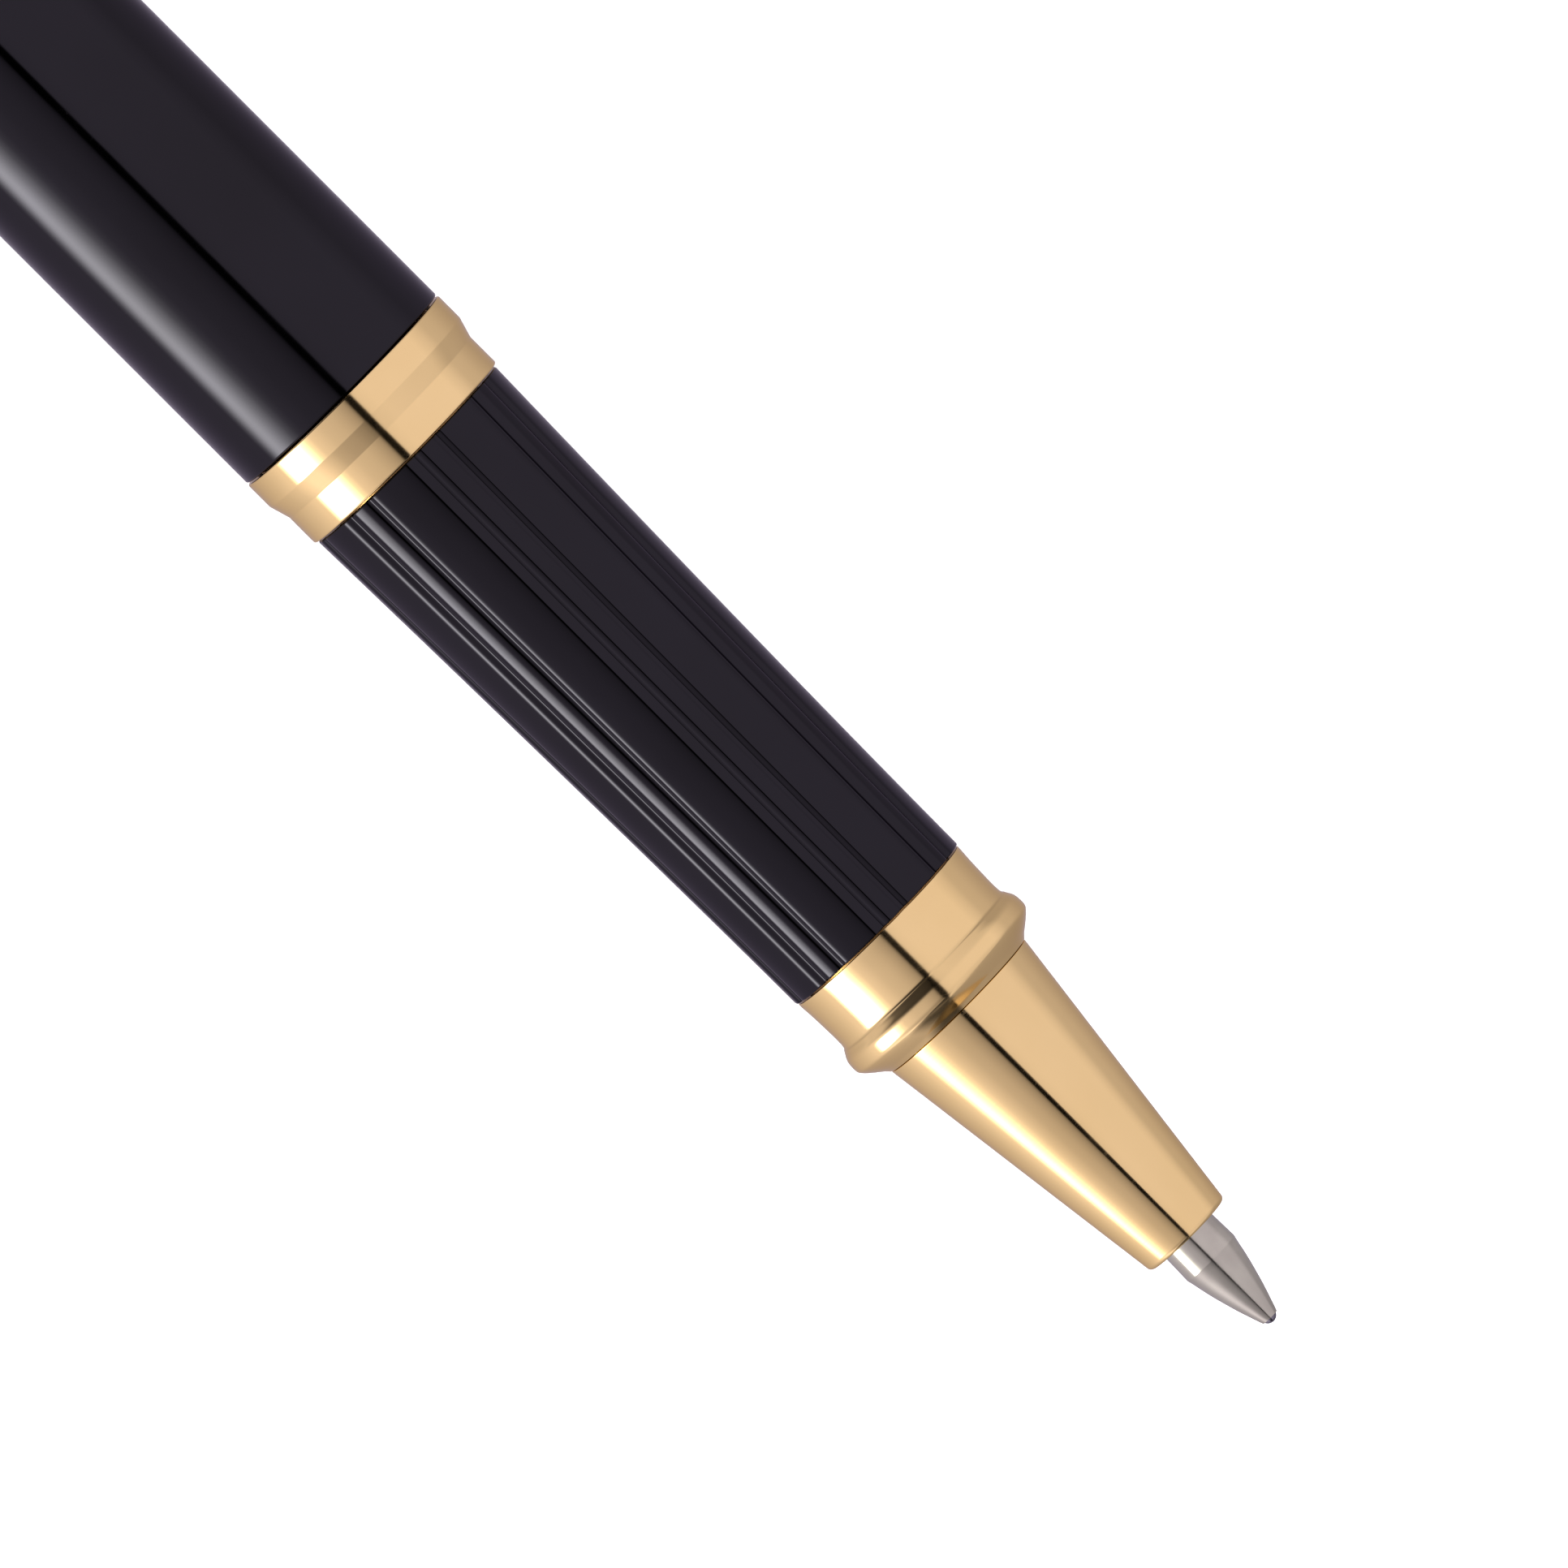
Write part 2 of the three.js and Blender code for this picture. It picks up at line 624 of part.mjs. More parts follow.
function springSeat() {
  const radius = barrelRadiusAt(seatRear) - BARREL_WALL - FIT_GAP;
  return turned([
    [seatRear, 0],
    [seatRear, radius - CHAMFER],
    [seatRear + CHAMFER, radius],
    [springRear, radius],
    [springRear, SEAT_PIN_RADIUS],
    [springRear + SEAT_PIN_LENGTH, SEAT_PIN_RADIUS],
    [springRear + SEAT_PIN_LENGTH, 0],
  ]);
}

// The plated plug that closes the barrel's tail.
function tailPlug() {
  const spigot = tailRadius - BARREL_WALL - FIT_GAP;
  const shoulder = barrelRear - FACE_GAP;
  return turned([
    [tailEnd, 0],
    [tailEnd, tailRadius - TAIL_ROUND],
    [tailEnd + TAIL_HEAD / 4, tailRadius - TAIL_ROUND / 3],
    [tailEnd + TAIL_HEAD * 0.6, tailRadius - EDGE],
    [shoulder, tailRadius - EDGE],
    [shoulder, spigot],
    [barrelRear + TAIL_SPIGOT, spigot],
    [barrelRear + TAIL_SPIGOT, 0],
  ]);
}

// ---- Cap ----

const capTubeEnd = linerDepth + LINER_END + CAP_PLUG_AIR + CAP_PLUG_LENGTH;
const clipRingStart = capTubeEnd + FACE_GAP;
const crownStart = clipRingStart + CLIP_RING_LENGTH + FACE_GAP;
const crownEnd = crownStart + CROWN_LENGTH;

function capTube() {
  return tube(inCap(capTubeEnd), inCap(LIP_LENGTH + FACE_GAP), capRadius, capTubeBore);
}

// The plated ring round the cap's mouth, with a sleeve inside the tube.
function capLipRing() {
  return turned([
    [inCap(LIP_SLEEVE), capBore],
    [inCap(LIP_SLEEVE), linerRadius],
    [inCap(LIP_LENGTH), linerRadius],
    [inCap(LIP_LENGTH), lipRadius - EDGE],
    [inCap(LIP_LENGTH - EDGE), lipRadius],
    ...arc(inCap(LIP_ROUND), lipRadius - LIP_ROUND, LIP_ROUND, 90, 0, 3),
    [inCap(0), capBore + EDGE],
    [inCap(EDGE), capBore],
    [inCap(LIP_SLEEVE), capBore],
  ]);
}

// The plastic liner: its ridge grips the nose bead when closed, and the tail when posted.
function capLiner() {
  const ridge = barrelRadiusAt(inCap(ridgeDepth - RIDGE_LENGTH / 2)) + RIDGE_GAP;
  const deepBore = capBore - LINER_STEP;
  return turned([
    [inCap(linerDepth + LINER_END), 0],
    [inCap(linerDepth + LINER_END), linerRadius - CHAMFER],
    [inCap(linerDepth + LINER_END - CHAMFER), linerRadius],
    [inCap(LIP_SLEEVE + FACE_GAP), linerRadius],
    [inCap(LIP_SLEEVE + FACE_GAP), capBore],
    [inCap(ridgeDepth - RIDGE_LENGTH / 2), capBore],
    [inCap(ridgeDepth - RIDGE_LENGTH / 6), ridge],
    [inCap(ridgeDepth + RIDGE_LENGTH / 6), ridge],
    [inCap(ridgeDepth + RIDGE_LENGTH / 2), deepBore],
    [inCap(linerDepth - CHAMFER), deepBore],
    [inCap(linerDepth), deepBore - CHAMFER],
    [inCap(linerDepth), 0],
  ]);
}

// The brass plug that the crown's stud screws into.
function capPlug() {
  const rear = inCap(capTubeEnd);
  return tube(rear, rear + CAP_PLUG_LENGTH, capTubeBore - FIT_GAP, STUD_RADIUS + FIT_GAP);
}

function clipRing() {
  const rear = inCap(clipRingStart + CLIP_RING_LENGTH);
  return tube(rear, inCap(clipRingStart), clipRingRadius, STUD_RADIUS + 2 * FIT_GAP);
}

function crown() {
  const rear = inCap(crownEnd);
  const front = inCap(crownStart);
  const stud = STUD_RADIUS + FIT_GAP;
  const socketEnd = front - STUD_GRIP - RESERVE;
  return turned([
    [rear + DISC_DEPTH, 0],
    [rear + DISC_DEPTH, DISC_RADIUS + FIT_GAP],
    [rear, DISC_RADIUS + FIT_GAP],
    ...arc(rear + CROWN_EDGE, crownRadius - CROWN_EDGE, CROWN_EDGE, 180, 90, 4),
    [front, crownRadius],
    [front, stud],
    [socketEnd, stud],
    [socketEnd, 0],
  ]);
}

// The flat inlay in the crown's end.
function crownDisc() {
  const rear = inCap(crownEnd) - DISC_PROUD;
  const front = inCap(crownEnd) + DISC_DEPTH - FACE_GAP;
  return turned([
    [rear, 0],
    [rear, DISC_RADIUS - EDGE],
    [rear + EDGE, DISC_RADIUS],
    [front, DISC_RADIUS],
    [front, 0],
  ]);
}

function crownStud() {
  const rear = inCap(crownStart) - STUD_GRIP;
  const front = inCap(capTubeEnd - CAP_PLUG_LENGTH);
  const outline = [
    [rear, 0],
    [rear, STUD_RADIUS],
    [front, STUD_RADIUS],
    [front, 0],
  ];
  return turned(outline, REFILL_SIDES);
}

// The clip's outline from the side: a root on the clip ring, a bend and a straight arm.
function clipSide(rear, front, top) {
  const root = rear + CLIP_RING_LENGTH;
  const rootBottom = clipRingRadius + CLIP_GAP;
  const underside = top - CLIP_THICKNESS;
  const side = new THREE.Shape();
  side.moveTo(rear, rootBottom);
  side.lineTo(root, rootBottom);
  side.lineTo(root, underside - CLIP_FILLET / 2);
  side.lineTo(root + CLIP_FILLET, underside);
  side.lineTo(front, underside);
  side.lineTo(front, top);
  side.lineTo(rear + CLIP_BEND, top);
  side.absarc(rear + CLIP_BEND, top - CLIP_BEND, CLIP_BEND, Math.PI / 2, Math.PI, false);
  return side;
}

// The clip's outline from above: parallel at its root, then narrowing to its foot.
function clipPlan(rear, front) {
  const halfRoot = CLIP_ROOT_WIDTH / 2;
  const halfTip = CLIP_TIP_WIDTH / 2;
  const narrowing = rear + CLIP_PARALLEL;
  const plan = new THREE.Shape();
  plan.moveTo(rear - CLIP_BEND, -halfRoot);
  plan.lineTo(narrowing, -halfRoot);
  plan.lineTo(front + CLIP_BEND, -halfTip);
  plan.lineTo(front + CLIP_BEND, halfTip);
  plan.lineTo(narrowing, halfRoot);
  plan.lineTo(rear - CLIP_BEND, halfRoot);
  return plan;
}

// The spring clip: its two outlines cut from one another, with a round foot near the cap.
function clip() {
  const rear = inCap(clipRingStart + CLIP_RING_LENGTH);
  const front = rear + CLIP_LENGTH;
  const top = capRadius + CLIP_STAND_OFF + CLIP_THICKNESS;
  const acrossOptions = { depth: 2 * CLIP_ROOT_WIDTH, curveSegments: 4, bevelEnabled: false };
  const across = new THREE.ExtrudeGeometry(clipSide(rear, front, top), acrossOptions);
  across.translate(0, 0, -CLIP_ROOT_WIDTH).rotateX(Math.PI / 2);
  const upOptions = { depth: 2 * top, bevelEnabled: false };
  const up = new THREE.ExtrudeGeometry(clipPlan(rear, front), upOptions);
  const foot = new THREE.SphereGeometry(CLIP_FOOT_RADIUS, 12, 8);
  foot.translate(front, 0, capRadius + CLIP_GAP + CLIP_FOOT_RADIUS);
  return geometryOf(solidOf(across).intersect(solidOf(up)).add(solidOf(foot)));
}

add("joint_ring", GOLD, jointRing());
add("section_core", BRASS, sectionCore());
add("section_grip", LACQUER, sectionGrip());
add("nose_collar", GOLD, noseCollar());
add("nose_cone", GOLD, noseCone());
add("refill_tip", STEEL, refillTip());
add("refill_ball", metal(0x8d9094, 0.15), refillBall());
add("refill_nose", BLACK_PLASTIC, refillNose());
add("refill_tube", CLEAR_PLASTIC, refillTube());
add("refill_ink_reservoir", INK_FIBRE, inkReservoir());
add("refill_feed_rod", INK_FIBRE, feedRod());
add("refill_end_plug", BLACK_PLASTIC, refillEndPlug());
add("barrel_tube", LACQUER, barrelTube());
add("barrel_thread_bush", BRASS, barrelThreadBush());
add("refill_spring", STEEL, refillSpring());
add("spring_seat", BLACK_PLASTIC, springSeat());
add("tail_plug", GOLD, tailPlug());
add("cap_tube", LACQUER, capTube());
add("cap_lip_ring", GOLD, capLipRing());
add("cap_liner", BLACK_PLASTIC, capLiner());
add("cap_plug", BRASS, capPlug());
add("clip_ring", GOLD, clipRing());
add("crown", GOLD, crown());
add("crown_disc", LACQUER, crownDisc());
add("crown_stud", STEEL, crownStud());
add("clip", GOLD, clip());

// The pen lies on a flat of its widest ring, and its frame starts under the middle of its length.
const penRear = inCap(crownEnd) - DISC_PROUD;
pen.position.set(-(penFront + penRear) / 2, 0, lipRadius * Math.cos(Math.PI / SIDES));

const frame = new THREE.Group();
frame.add(pen);

export default frame;
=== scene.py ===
"""A capped rollerball pen in black lacquer and gold plate, lying on a pale table with its cap on its tail.

Metres, in the pen's own frame: +X towards the writing tip, +Z up, the table just under Z = 0. Every piece
takes its place along the pen and its widest radius from the frame. Only its finer shape and its finish are
written here.
"""
import math

import bpy
from mathutils import Matrix, Vector


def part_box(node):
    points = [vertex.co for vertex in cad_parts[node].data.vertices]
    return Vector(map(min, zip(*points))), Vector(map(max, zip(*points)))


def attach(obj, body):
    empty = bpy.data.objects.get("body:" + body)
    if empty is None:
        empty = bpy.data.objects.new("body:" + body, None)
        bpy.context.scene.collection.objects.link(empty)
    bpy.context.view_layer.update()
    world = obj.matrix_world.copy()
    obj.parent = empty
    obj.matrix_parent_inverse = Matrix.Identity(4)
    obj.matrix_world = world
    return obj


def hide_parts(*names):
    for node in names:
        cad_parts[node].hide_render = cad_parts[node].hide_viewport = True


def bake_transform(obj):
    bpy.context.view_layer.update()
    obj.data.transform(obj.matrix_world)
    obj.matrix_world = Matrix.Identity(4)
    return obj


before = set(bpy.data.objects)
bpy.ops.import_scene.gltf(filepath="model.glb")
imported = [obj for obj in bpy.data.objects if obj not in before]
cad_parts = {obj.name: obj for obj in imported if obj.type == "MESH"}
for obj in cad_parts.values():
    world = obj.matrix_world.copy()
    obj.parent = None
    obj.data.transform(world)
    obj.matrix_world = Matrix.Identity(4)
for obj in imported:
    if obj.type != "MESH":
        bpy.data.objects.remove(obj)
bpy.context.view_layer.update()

MM = 0.001
MICRON = 0.001 * MM
CASING_SIDES = 24  # flats round a casing in the frame
REFILL_SIDES = 16  # flats round a refill piece in the frame
ROUND = 192  # segments round a casing here
ROUND_INNER = 96  # segments round a piece that is mostly hidden
ROUND_SMALL = 48  # segments round the smallest pieces
FILLET_STEPS = 5
FILLET_SHARE = 0.42  # the most of a flat that a rounding takes at one end
FLAT_GUARD = 0.12  # where the extra point lies on a flat, as a share of the rounding's reach
NEARLY_FLAT = math.radians(89.5)  # half the angle of a corner that needs no rounding
SHARP = math.radians(38)  # an edge that turns more than this stays sharp


def axis_height():
    low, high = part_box("barrel_tube")
    return (low.z + high.z) / 2


AXIS_Z = axis_height()


def ends(node):
    """Where a node starts and stops along the pen."""
    low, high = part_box(node)
    return low.x, high.x


def rim(node, sides=CASING_SIDES):
    """A node's widest radius, to the corners of its flats."""
    low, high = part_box(node)
    return (high.y - low.y) / 2 / math.cos(math.pi / sides)


# ---------------------------------------------------------------- node trees


class Tree:
    """Adds nodes to one tree and wires them: an input is a value or another node's output."""

    def __init__(self, tree):
        self.tree = tree

    def add(self, kind, inputs=None, **settings):
        node = self.tree.nodes.new(kind)
        for name, value in settings.items():
            setattr(node, name, value)
        for name, value in (inputs or {}).items():
            self.feed(node.inputs[name], value)
        return node

    def feed(self, socket, value):
        if isinstance(value, bpy.types.NodeSocket):
            self.tree.links.new(value, socket)
        else:
            socket.default_value = value

    def math(self, operation, *values, clamp=False):
        node = self.add("ShaderNodeMath", operation=operation, use_clamp=clamp)
        for socket, value in zip(node.inputs, values):
            self.feed(socket, value)
        return node.outputs[0]

    def vector(self, operation, *values):
        node = self.add("ShaderNodeVectorMath", operation=operation)
        for socket, value in zip(node.inputs, values):
            self.feed(socket, value)
        return node.outputs[0]


def new_group(name, kind, inputs, outputs):
    """A node group with named sockets, with its own input and output nodes."""
    group = bpy.data.node_groups.new(name, kind)
    for label, socket_type, value in inputs:
        socket = group.interface.new_socket(label, in_out="INPUT", socket_type=socket_type)
        if value is not None:
            socket.default_value = value
    for label, socket_type in outputs:
        group.interface.new_socket(label, in_out="OUTPUT", socket_type=socket_type)
    tree = Tree(group)
    return group, tree, tree.add("NodeGroupInput"), tree.add("NodeGroupOutput")


FLOAT = "NodeSocketFloat"
VECTOR = "NodeSocketVector"
INTEGER = "NodeSocketInt"
GEOMETRY = "NodeSocketGeometry"
MATERIAL = "NodeSocketMaterial"
SHADER = "ShaderNodeTree"
GEOMETRY_TREE = "GeometryNodeTree"


# ------------------------------------------------------------ shared finishes


def make_turning_marks():
    """Fine rings round the pen's axis, as a lathe tool or a polishing wheel leaves."""
    inputs = [("Position", VECTOR, None), ("Rings per metre", FLOAT, 9000.0), ("Drift", FLOAT, 40.0)]
    group, tree, given, made = new_group("turning marks", SHADER, inputs, [("Height", FLOAT)])
    scale = tree.add("ShaderNodeCombineXYZ", {"X": given.outputs["Rings per metre"]})
    tree.feed(scale.inputs["Y"], given.outputs["Drift"])
    tree.feed(scale.inputs["Z"], given.outputs["Drift"])
    spot = tree.vector("MULTIPLY", given.outputs["Position"], scale.outputs[0])
    noise = tree.add("ShaderNodeTexNoise", {"Vector": spot, "Scale": 1.0, "Detail": 3.0, "Roughness": 0.6})
    tree.feed(made.inputs["Height"], noise.outputs["Fac"])
    return group


def make_fine_scratches():
    """Sparse hairlines in two directions, as handling leaves: 1 on a hairline and 0 elsewhere."""
    inputs = [("Position", VECTOR, None), ("Spread", FLOAT, 900.0), ("Amount", FLOAT, 0.03)]
    group, tree, given, made = new_group("fine scratches", SHADER, inputs, [("Mask", FLOAT)])
    masks = []
    for turn, stretch in (((0.3, 0.9, 0.5), 14.0), ((1.1, -0.6, 0.2), 9.0)):
        turned_spot = tree.add("ShaderNodeMapping", {"Vector": given.outputs["Position"], "Rotation": turn})
        size = tree.add("ShaderNodeCombineXYZ", {"X": given.outputs["Spread"]})
        tree.feed(size.inputs["Y"], tree.math("DIVIDE", given.outputs["Spread"], stretch))
        tree.feed(size.inputs["Z"], given.outputs["Spread"])
        spot = tree.vector("MULTIPLY", turned_spot.outputs[0], size.outputs[0])
        noise = tree.add("ShaderNodeTexNoise", {"Vector": spot, "Scale": 1.0, "Detail": 2.0})
        off_middle = tree.math("ABSOLUTE", tree.math("SUBTRACT", noise.outputs["Fac"], 0.5))
        thin = tree.math("DIVIDE", off_middle, tree.math("MULTIPLY", given.outputs["Amount"], 0.3))
        line = tree.math("SUBTRACT", 1.0, thin, clamp=True)
        patch = tree.add("ShaderNodeTexNoise", {"Vector": spot, "Scale": 0.06, "Detail": 1.0})
        gate = tree.add("ShaderNodeMapRange", {"Value": patch.outputs["Fac"]})
        gate.inputs["From Min"].default_value = 0.52
        gate.inputs["From Max"].default_value = 0.6
        masks.append(tree.math("MULTIPLY", line, gate.outputs[0]))
    tree.feed(made.inputs["Mask"], tree.math("MAXIMUM", *masks))
    return group


def make_surface_haze():
    """Soft patches, a few millimetres across, where polish or fingers left the surface a little duller."""
    inputs = [
        ("Position", VECTOR, None),
        ("Patches per metre", FLOAT, 260.0),
        ("Low", FLOAT, 0.0),
        ("High", FLOAT, 1.0),
    ]
    group, tree, given, made = new_group("surface haze", SHADER, inputs, [("Value", FLOAT)])
    noise = tree.add("ShaderNodeTexNoise", {"Vector": given.outputs["Position"], "Detail": 3.0})
    noise.inputs["Roughness"].default_value = 0.55
    tree.feed(noise.inputs["Scale"], given.outputs["Patches per metre"])
    spread = tree.add("ShaderNodeMapRange", {"Value": noise.outputs["Fac"], "From Min": 0.3, "From Max": 0.7})
    tree.feed(spread.inputs["To Min"], given.outputs["Low"])
    tree.feed(spread.inputs["To Max"], given.outputs["High"])
    tree.feed(made.inputs["Value"], spread.outputs[0])
    return group


def make_grain():
    """The fine pebble of a moulded or fibrous surface."""
    inputs = [("Position", VECTOR, None), ("Grains per metre", FLOAT, 12000.0), ("Stretch", FLOAT, 1.0)]
    group, tree, given, made = new_group("grain", SHADER, inputs, [("Height", FLOAT)])
    size = tree.add("ShaderNodeCombineXYZ", {"Y": 1.0, "Z": 1.0})
    tree.feed(size.inputs["X"], tree.math("DIVIDE", 1.0, given.outputs["Stretch"]))
    spot = tree.vector("MULTIPLY", given.outputs["Position"], size.outputs[0])
    noise = tree.add("ShaderNodeTexNoise", {"Vector": spot, "Detail": 2.0, "Roughness": 0.7})
    tree.feed(noise.inputs["Scale"], given.outputs["Grains per metre"])
    tree.feed(made.inputs["Height"], noise.outputs["Fac"])
    return group


TURNING_MARKS = make_turning_marks()
FINE_SCRATCHES = make_fine_scratches()
SURFACE_HAZE = make_surface_haze()
GRAIN = make_grain()


class Finish:
    """One material: a Principled shader, the object's coordinates and the shared finishes."""

    def __init__(self, name, metallic=0.0, ior=1.5):
        self.material = bpy.data.materials.new(name)
        self.material.use_nodes = True
        self.tree = Tree(self.material.node_tree)
        self.shader = self.material.node_tree.nodes["Principled BSDF"]
        self.shader.inputs["Metallic"].default_value = metallic
        self.shader.inputs["IOR"].default_value = ior
        self.place = self.tree.add("ShaderNodeTexCoord").outputs["Object"]

    def shared(self, group, **values):
        """A shared finish at this material's own values; its one output."""
        node = self.tree.add("ShaderNodeGroup", node_tree=group)
        self.tree.feed(node.inputs["Position"], self.place)
        for label, value in values.items():
            node.inputs[label.replace("_", " ")].default_value = value
        return node.outputs[0]

    def colour(self, low, high, amount):
        """Base colour between two tones."""
        mix = self.tree.add("ShaderNodeMix", data_type="RGBA")
        self.tree.feed(mix.inputs["Factor"], amount)
        self.tree.feed(mix.inputs["A"], (*low, 1.0))
        self.tree.feed(mix.inputs["B"], (*high, 1.0))
        self.tree.feed(self.shader.inputs["Base Color"], mix.outputs["Result"])

    def roughness(self, value):
        self.tree.feed(self.shader.inputs["Roughness"], value)

    def relief(self, height, depth, strength=1.0):
        """Bump of one height map, depth in metres."""
        bump = self.tree.add("ShaderNodeBump", {"Height": height, "Distance": depth, "Strength": strength})
        self.tree.feed(self.shader.inputs["Normal"], bump.outputs[0])


def make_gold_plate():
    """Polished gold plate: warm to its very edge, with faint polishing rings and a little haze."""
    finish = Finish("gold plate", metallic=1.0)
    finish.shader.inputs["Specular Tint"].default_value = (0.97, 0.88, 0.72, 1.0)
    haze = finish.shared(SURFACE_HAZE, Patches_per_metre=180.0)
    finish.colour((0.935, 0.708, 0.290), (0.975, 0.746, 0.320), haze)
    scratches = finish.shared(FINE_SCRATCHES, Spread=1500.0, Amount=0.02)
    dull = finish.shared(SURFACE_HAZE, Patches_per_metre=420.0, Low=0.06, High=0.10)
    finish.roughness(finish.tree.math("MULTIPLY_ADD", scratches, 0.06, dull))
    finish.relief(finish.shared(TURNING_MARKS, Rings_per_metre=14000.0, Drift=60.0), 0.6 * MICRON)
    return finish.material


def make_lacquer(name, peel):
    """Deep black lacquer: a dark mirror with the faint orange peel of a sprayed coat.

    Its edges stay dark, so it is a dark reflector with a tinted edge and not a clear coat over black.
    """
    finish = Finish(name, metallic=1.0)
    finish.shader.inputs["Specular Tint"].default_value = (0.74, 0.72, 0.76, 1.0)
    haze = finish.shared(SURFACE_HAZE, Patches_per_metre=90.0)
    finish.colour((0.0247, 0.0241, 0.0253), (0.0275, 0.0268, 0.0290), haze)
    scratches = finish.shared(FINE_SCRATCHES, Spread=1100.0, Amount=0.016)
    dull = finish.shared(SURFACE_HAZE, Patches_per_metre=300.0, Low=0.05, High=0.09)
    finish.roughness(finish.tree.math("MULTIPLY_ADD", scratches, 0.10, dull))
    finish.relief(finish.shared(GRAIN, Grains_per_metre=700.0, Stretch=2.0), peel)
    return finish.material


def make_machined_brass():
    finish = Finish("machined brass", metallic=1.0)
    haze = finish.shared(SURFACE_HAZE, Patches_per_metre=320.0)
    finish.colour((0.50, 0.31, 0.10), (0.66, 0.45, 0.18), haze)
    finish.roughness(finish.shared(SURFACE_HAZE, Patches_per_metre=500.0, Low=0.22, High=0.36))
    finish.relief(finish.shared(TURNING_MARKS, Rings_per_metre=9000.0, Drift=90.0), 4 * MICRON)
    return finish.material


def make_turned_steel(name, low, high, dullest):
    finish = Finish(name, metallic=1.0)
    haze = finish.shared(SURFACE_HAZE, Patches_per_metre=700.0)
    finish.colour(low, high, haze)
    finish.roughness(finish.shared(SURFACE_HAZE, Patches_per_metre=1500.0, Low=dullest * 0.6, High=dullest))
    finish.relief(finish.shared(TURNING_MARKS, Rings_per_metre=22000.0, Drift=150.0), 1.2 * MICRON)
    return finish.material


def make_moulded_plastic():
    finish = Finish("moulded black plastic", ior=1.48)
    haze = finish.shared(SURFACE_HAZE, Patches_per_metre=400.0)
    finish.colour((0.010, 0.010, 0.011), (0.018, 0.018, 0.020), haze)
    finish.roughness(finish.shared(SURFACE_HAZE, Patches_per_metre=900.0, Low=0.32, High=0.48))
    finish.relief(finish.shared(GRAIN, Grains_per_metre=11000.0), 8 * MICRON)
    return finish.material


def make_refill_plastic():
    """The satin body of a refill, which lets a little light in."""
    finish = Finish("refill plastic", ior=1.5)
    haze = finish.shared(SURFACE_HAZE, Patches_per_metre=150.0)
    finish.colour((0.40, 0.42, 0.44), (0.56, 0.57, 0.57), haze)
    finish.shader.inputs["Subsurface Weight"].default_value = 0.15
    finish.shader.inputs["Subsurface Scale"].default_value = 0.4 * MM
    finish.roughness(finish.shared(SURFACE_HAZE, Patches_per_metre=600.0, Low=0.25, High=0.36))
    finish.relief(finish.shared(GRAIN, Grains_per_metre=5000.0, Stretch=8.0), 4 * MICRON)
    return finish.material


def make_ink_fibre():
    finish = Finish("ink fibre")
    soaked = finish.shared(GRAIN, Grains_per_metre=7000.0, Stretch=14.0)
    finish.colour((0.006, 0.009, 0.035), (0.03, 0.05, 0.16), soaked)
    finish.roughness(finish.shared(SURFACE_HAZE, Patches_per_metre=900.0, Low=0.7, High=0.95))
    finish.relief(soaked, 60 * MICRON)
    return finish.material


GOLD = make_gold_plate()
LACQUER = make_lacquer("black lacquer", 1.5 * MICRON)
GRIP_LACQUER = make_lacquer("grip lacquer", MICRON)
BRASS = make_machined_brass()
TIP_STEEL = make_turned_steel("turned tip steel", (0.505, 0.500, 0.380), (0.575, 0.580, 0.435), 0.17)
CARBIDE = make_turned_steel("ball carbide", (0.20, 0.20, 0.21), (0.34, 0.34, 0.35), 0.12)
WIRE = make_turned_steel("drawn wire", (0.40, 0.40, 0.41), (0.55, 0.55, 0.56), 0.3)
PLASTIC = make_moulded_plastic()
REFILL_PLASTIC = make_refill_plastic()
INK_FIBRE = make_ink_fibre()

# ------------------------------------------------------------- turned pieces


def rounded_corner(before, corner, after, radius):
    """The arc that rounds a corner, with one more point on each side that keeps the flats flat."""
    back = before - corner
    ahead = after - corner
    half = back.angle(ahead) / 2
    if radius <= 0 or half > NEARLY_FLAT:
        return [corner]
    reach = min(radius / math.tan(half), FILLET_SHARE * back.length, FILLET_SHARE * ahead.length)
    radius = reach * math.tan(half)
    start = corner + back.normalized() * reach
    stop = corner + ahead.normalized() * reach
    centre = corner + (back.normalized() + ahead.normalized()).normalized() * radius / math.sin(half)
    points = [start + (start - corner) * FLAT_GUARD]
    for i in range(FILLET_STEPS + 1):
        spoke = (start - centre).slerp(stop - centre, i / FILLET_STEPS)
        points.append(centre + spoke * radius)
    points.append(stop + (stop - corner) * FLAT_GUARD)
    return points


def outline_of(corners):
    """A fine line of points round the corners (x, radius, rounding in millimetres), outside first."""
    places = [Vector((x, radius)) for x, radius, _ in corners]
    closed = all(radius > 0 for _, radius, _ in corners)
    points = []
    for i, (_, radius, rounding) in enumerate(corners):
        if radius <= 0:
            points.append(places[i])
            continue
        before = places[i - 1]
        after = places[(i + 1) % len(places)]
        points += rounded_corner(before, places[i], after, rounding * MM)
    return points, closed


def curved(points, steps):
    """A smooth line through given points (x, radius)."""
    knots = [Vector(p) for p in points]
    padded = [2 * knots[0] - knots[1], *knots, 2 * knots[-1] - knots[-2]]
    line = []
    for a, b, c, d in zip(padded, padded[1:], padded[2:], padded[3:]):
        for i in range(steps):
            t = i / steps
            line.append(0.5 * ((2 * b) + (c - a) * t + (2 * a - 5 * b + 4 * c - d) * t**2
                               + (3 * b - a - 3 * c + d) * t**3))
    line.append(knots[-1])
    return [(p.x, p.y, 0) for p in line]


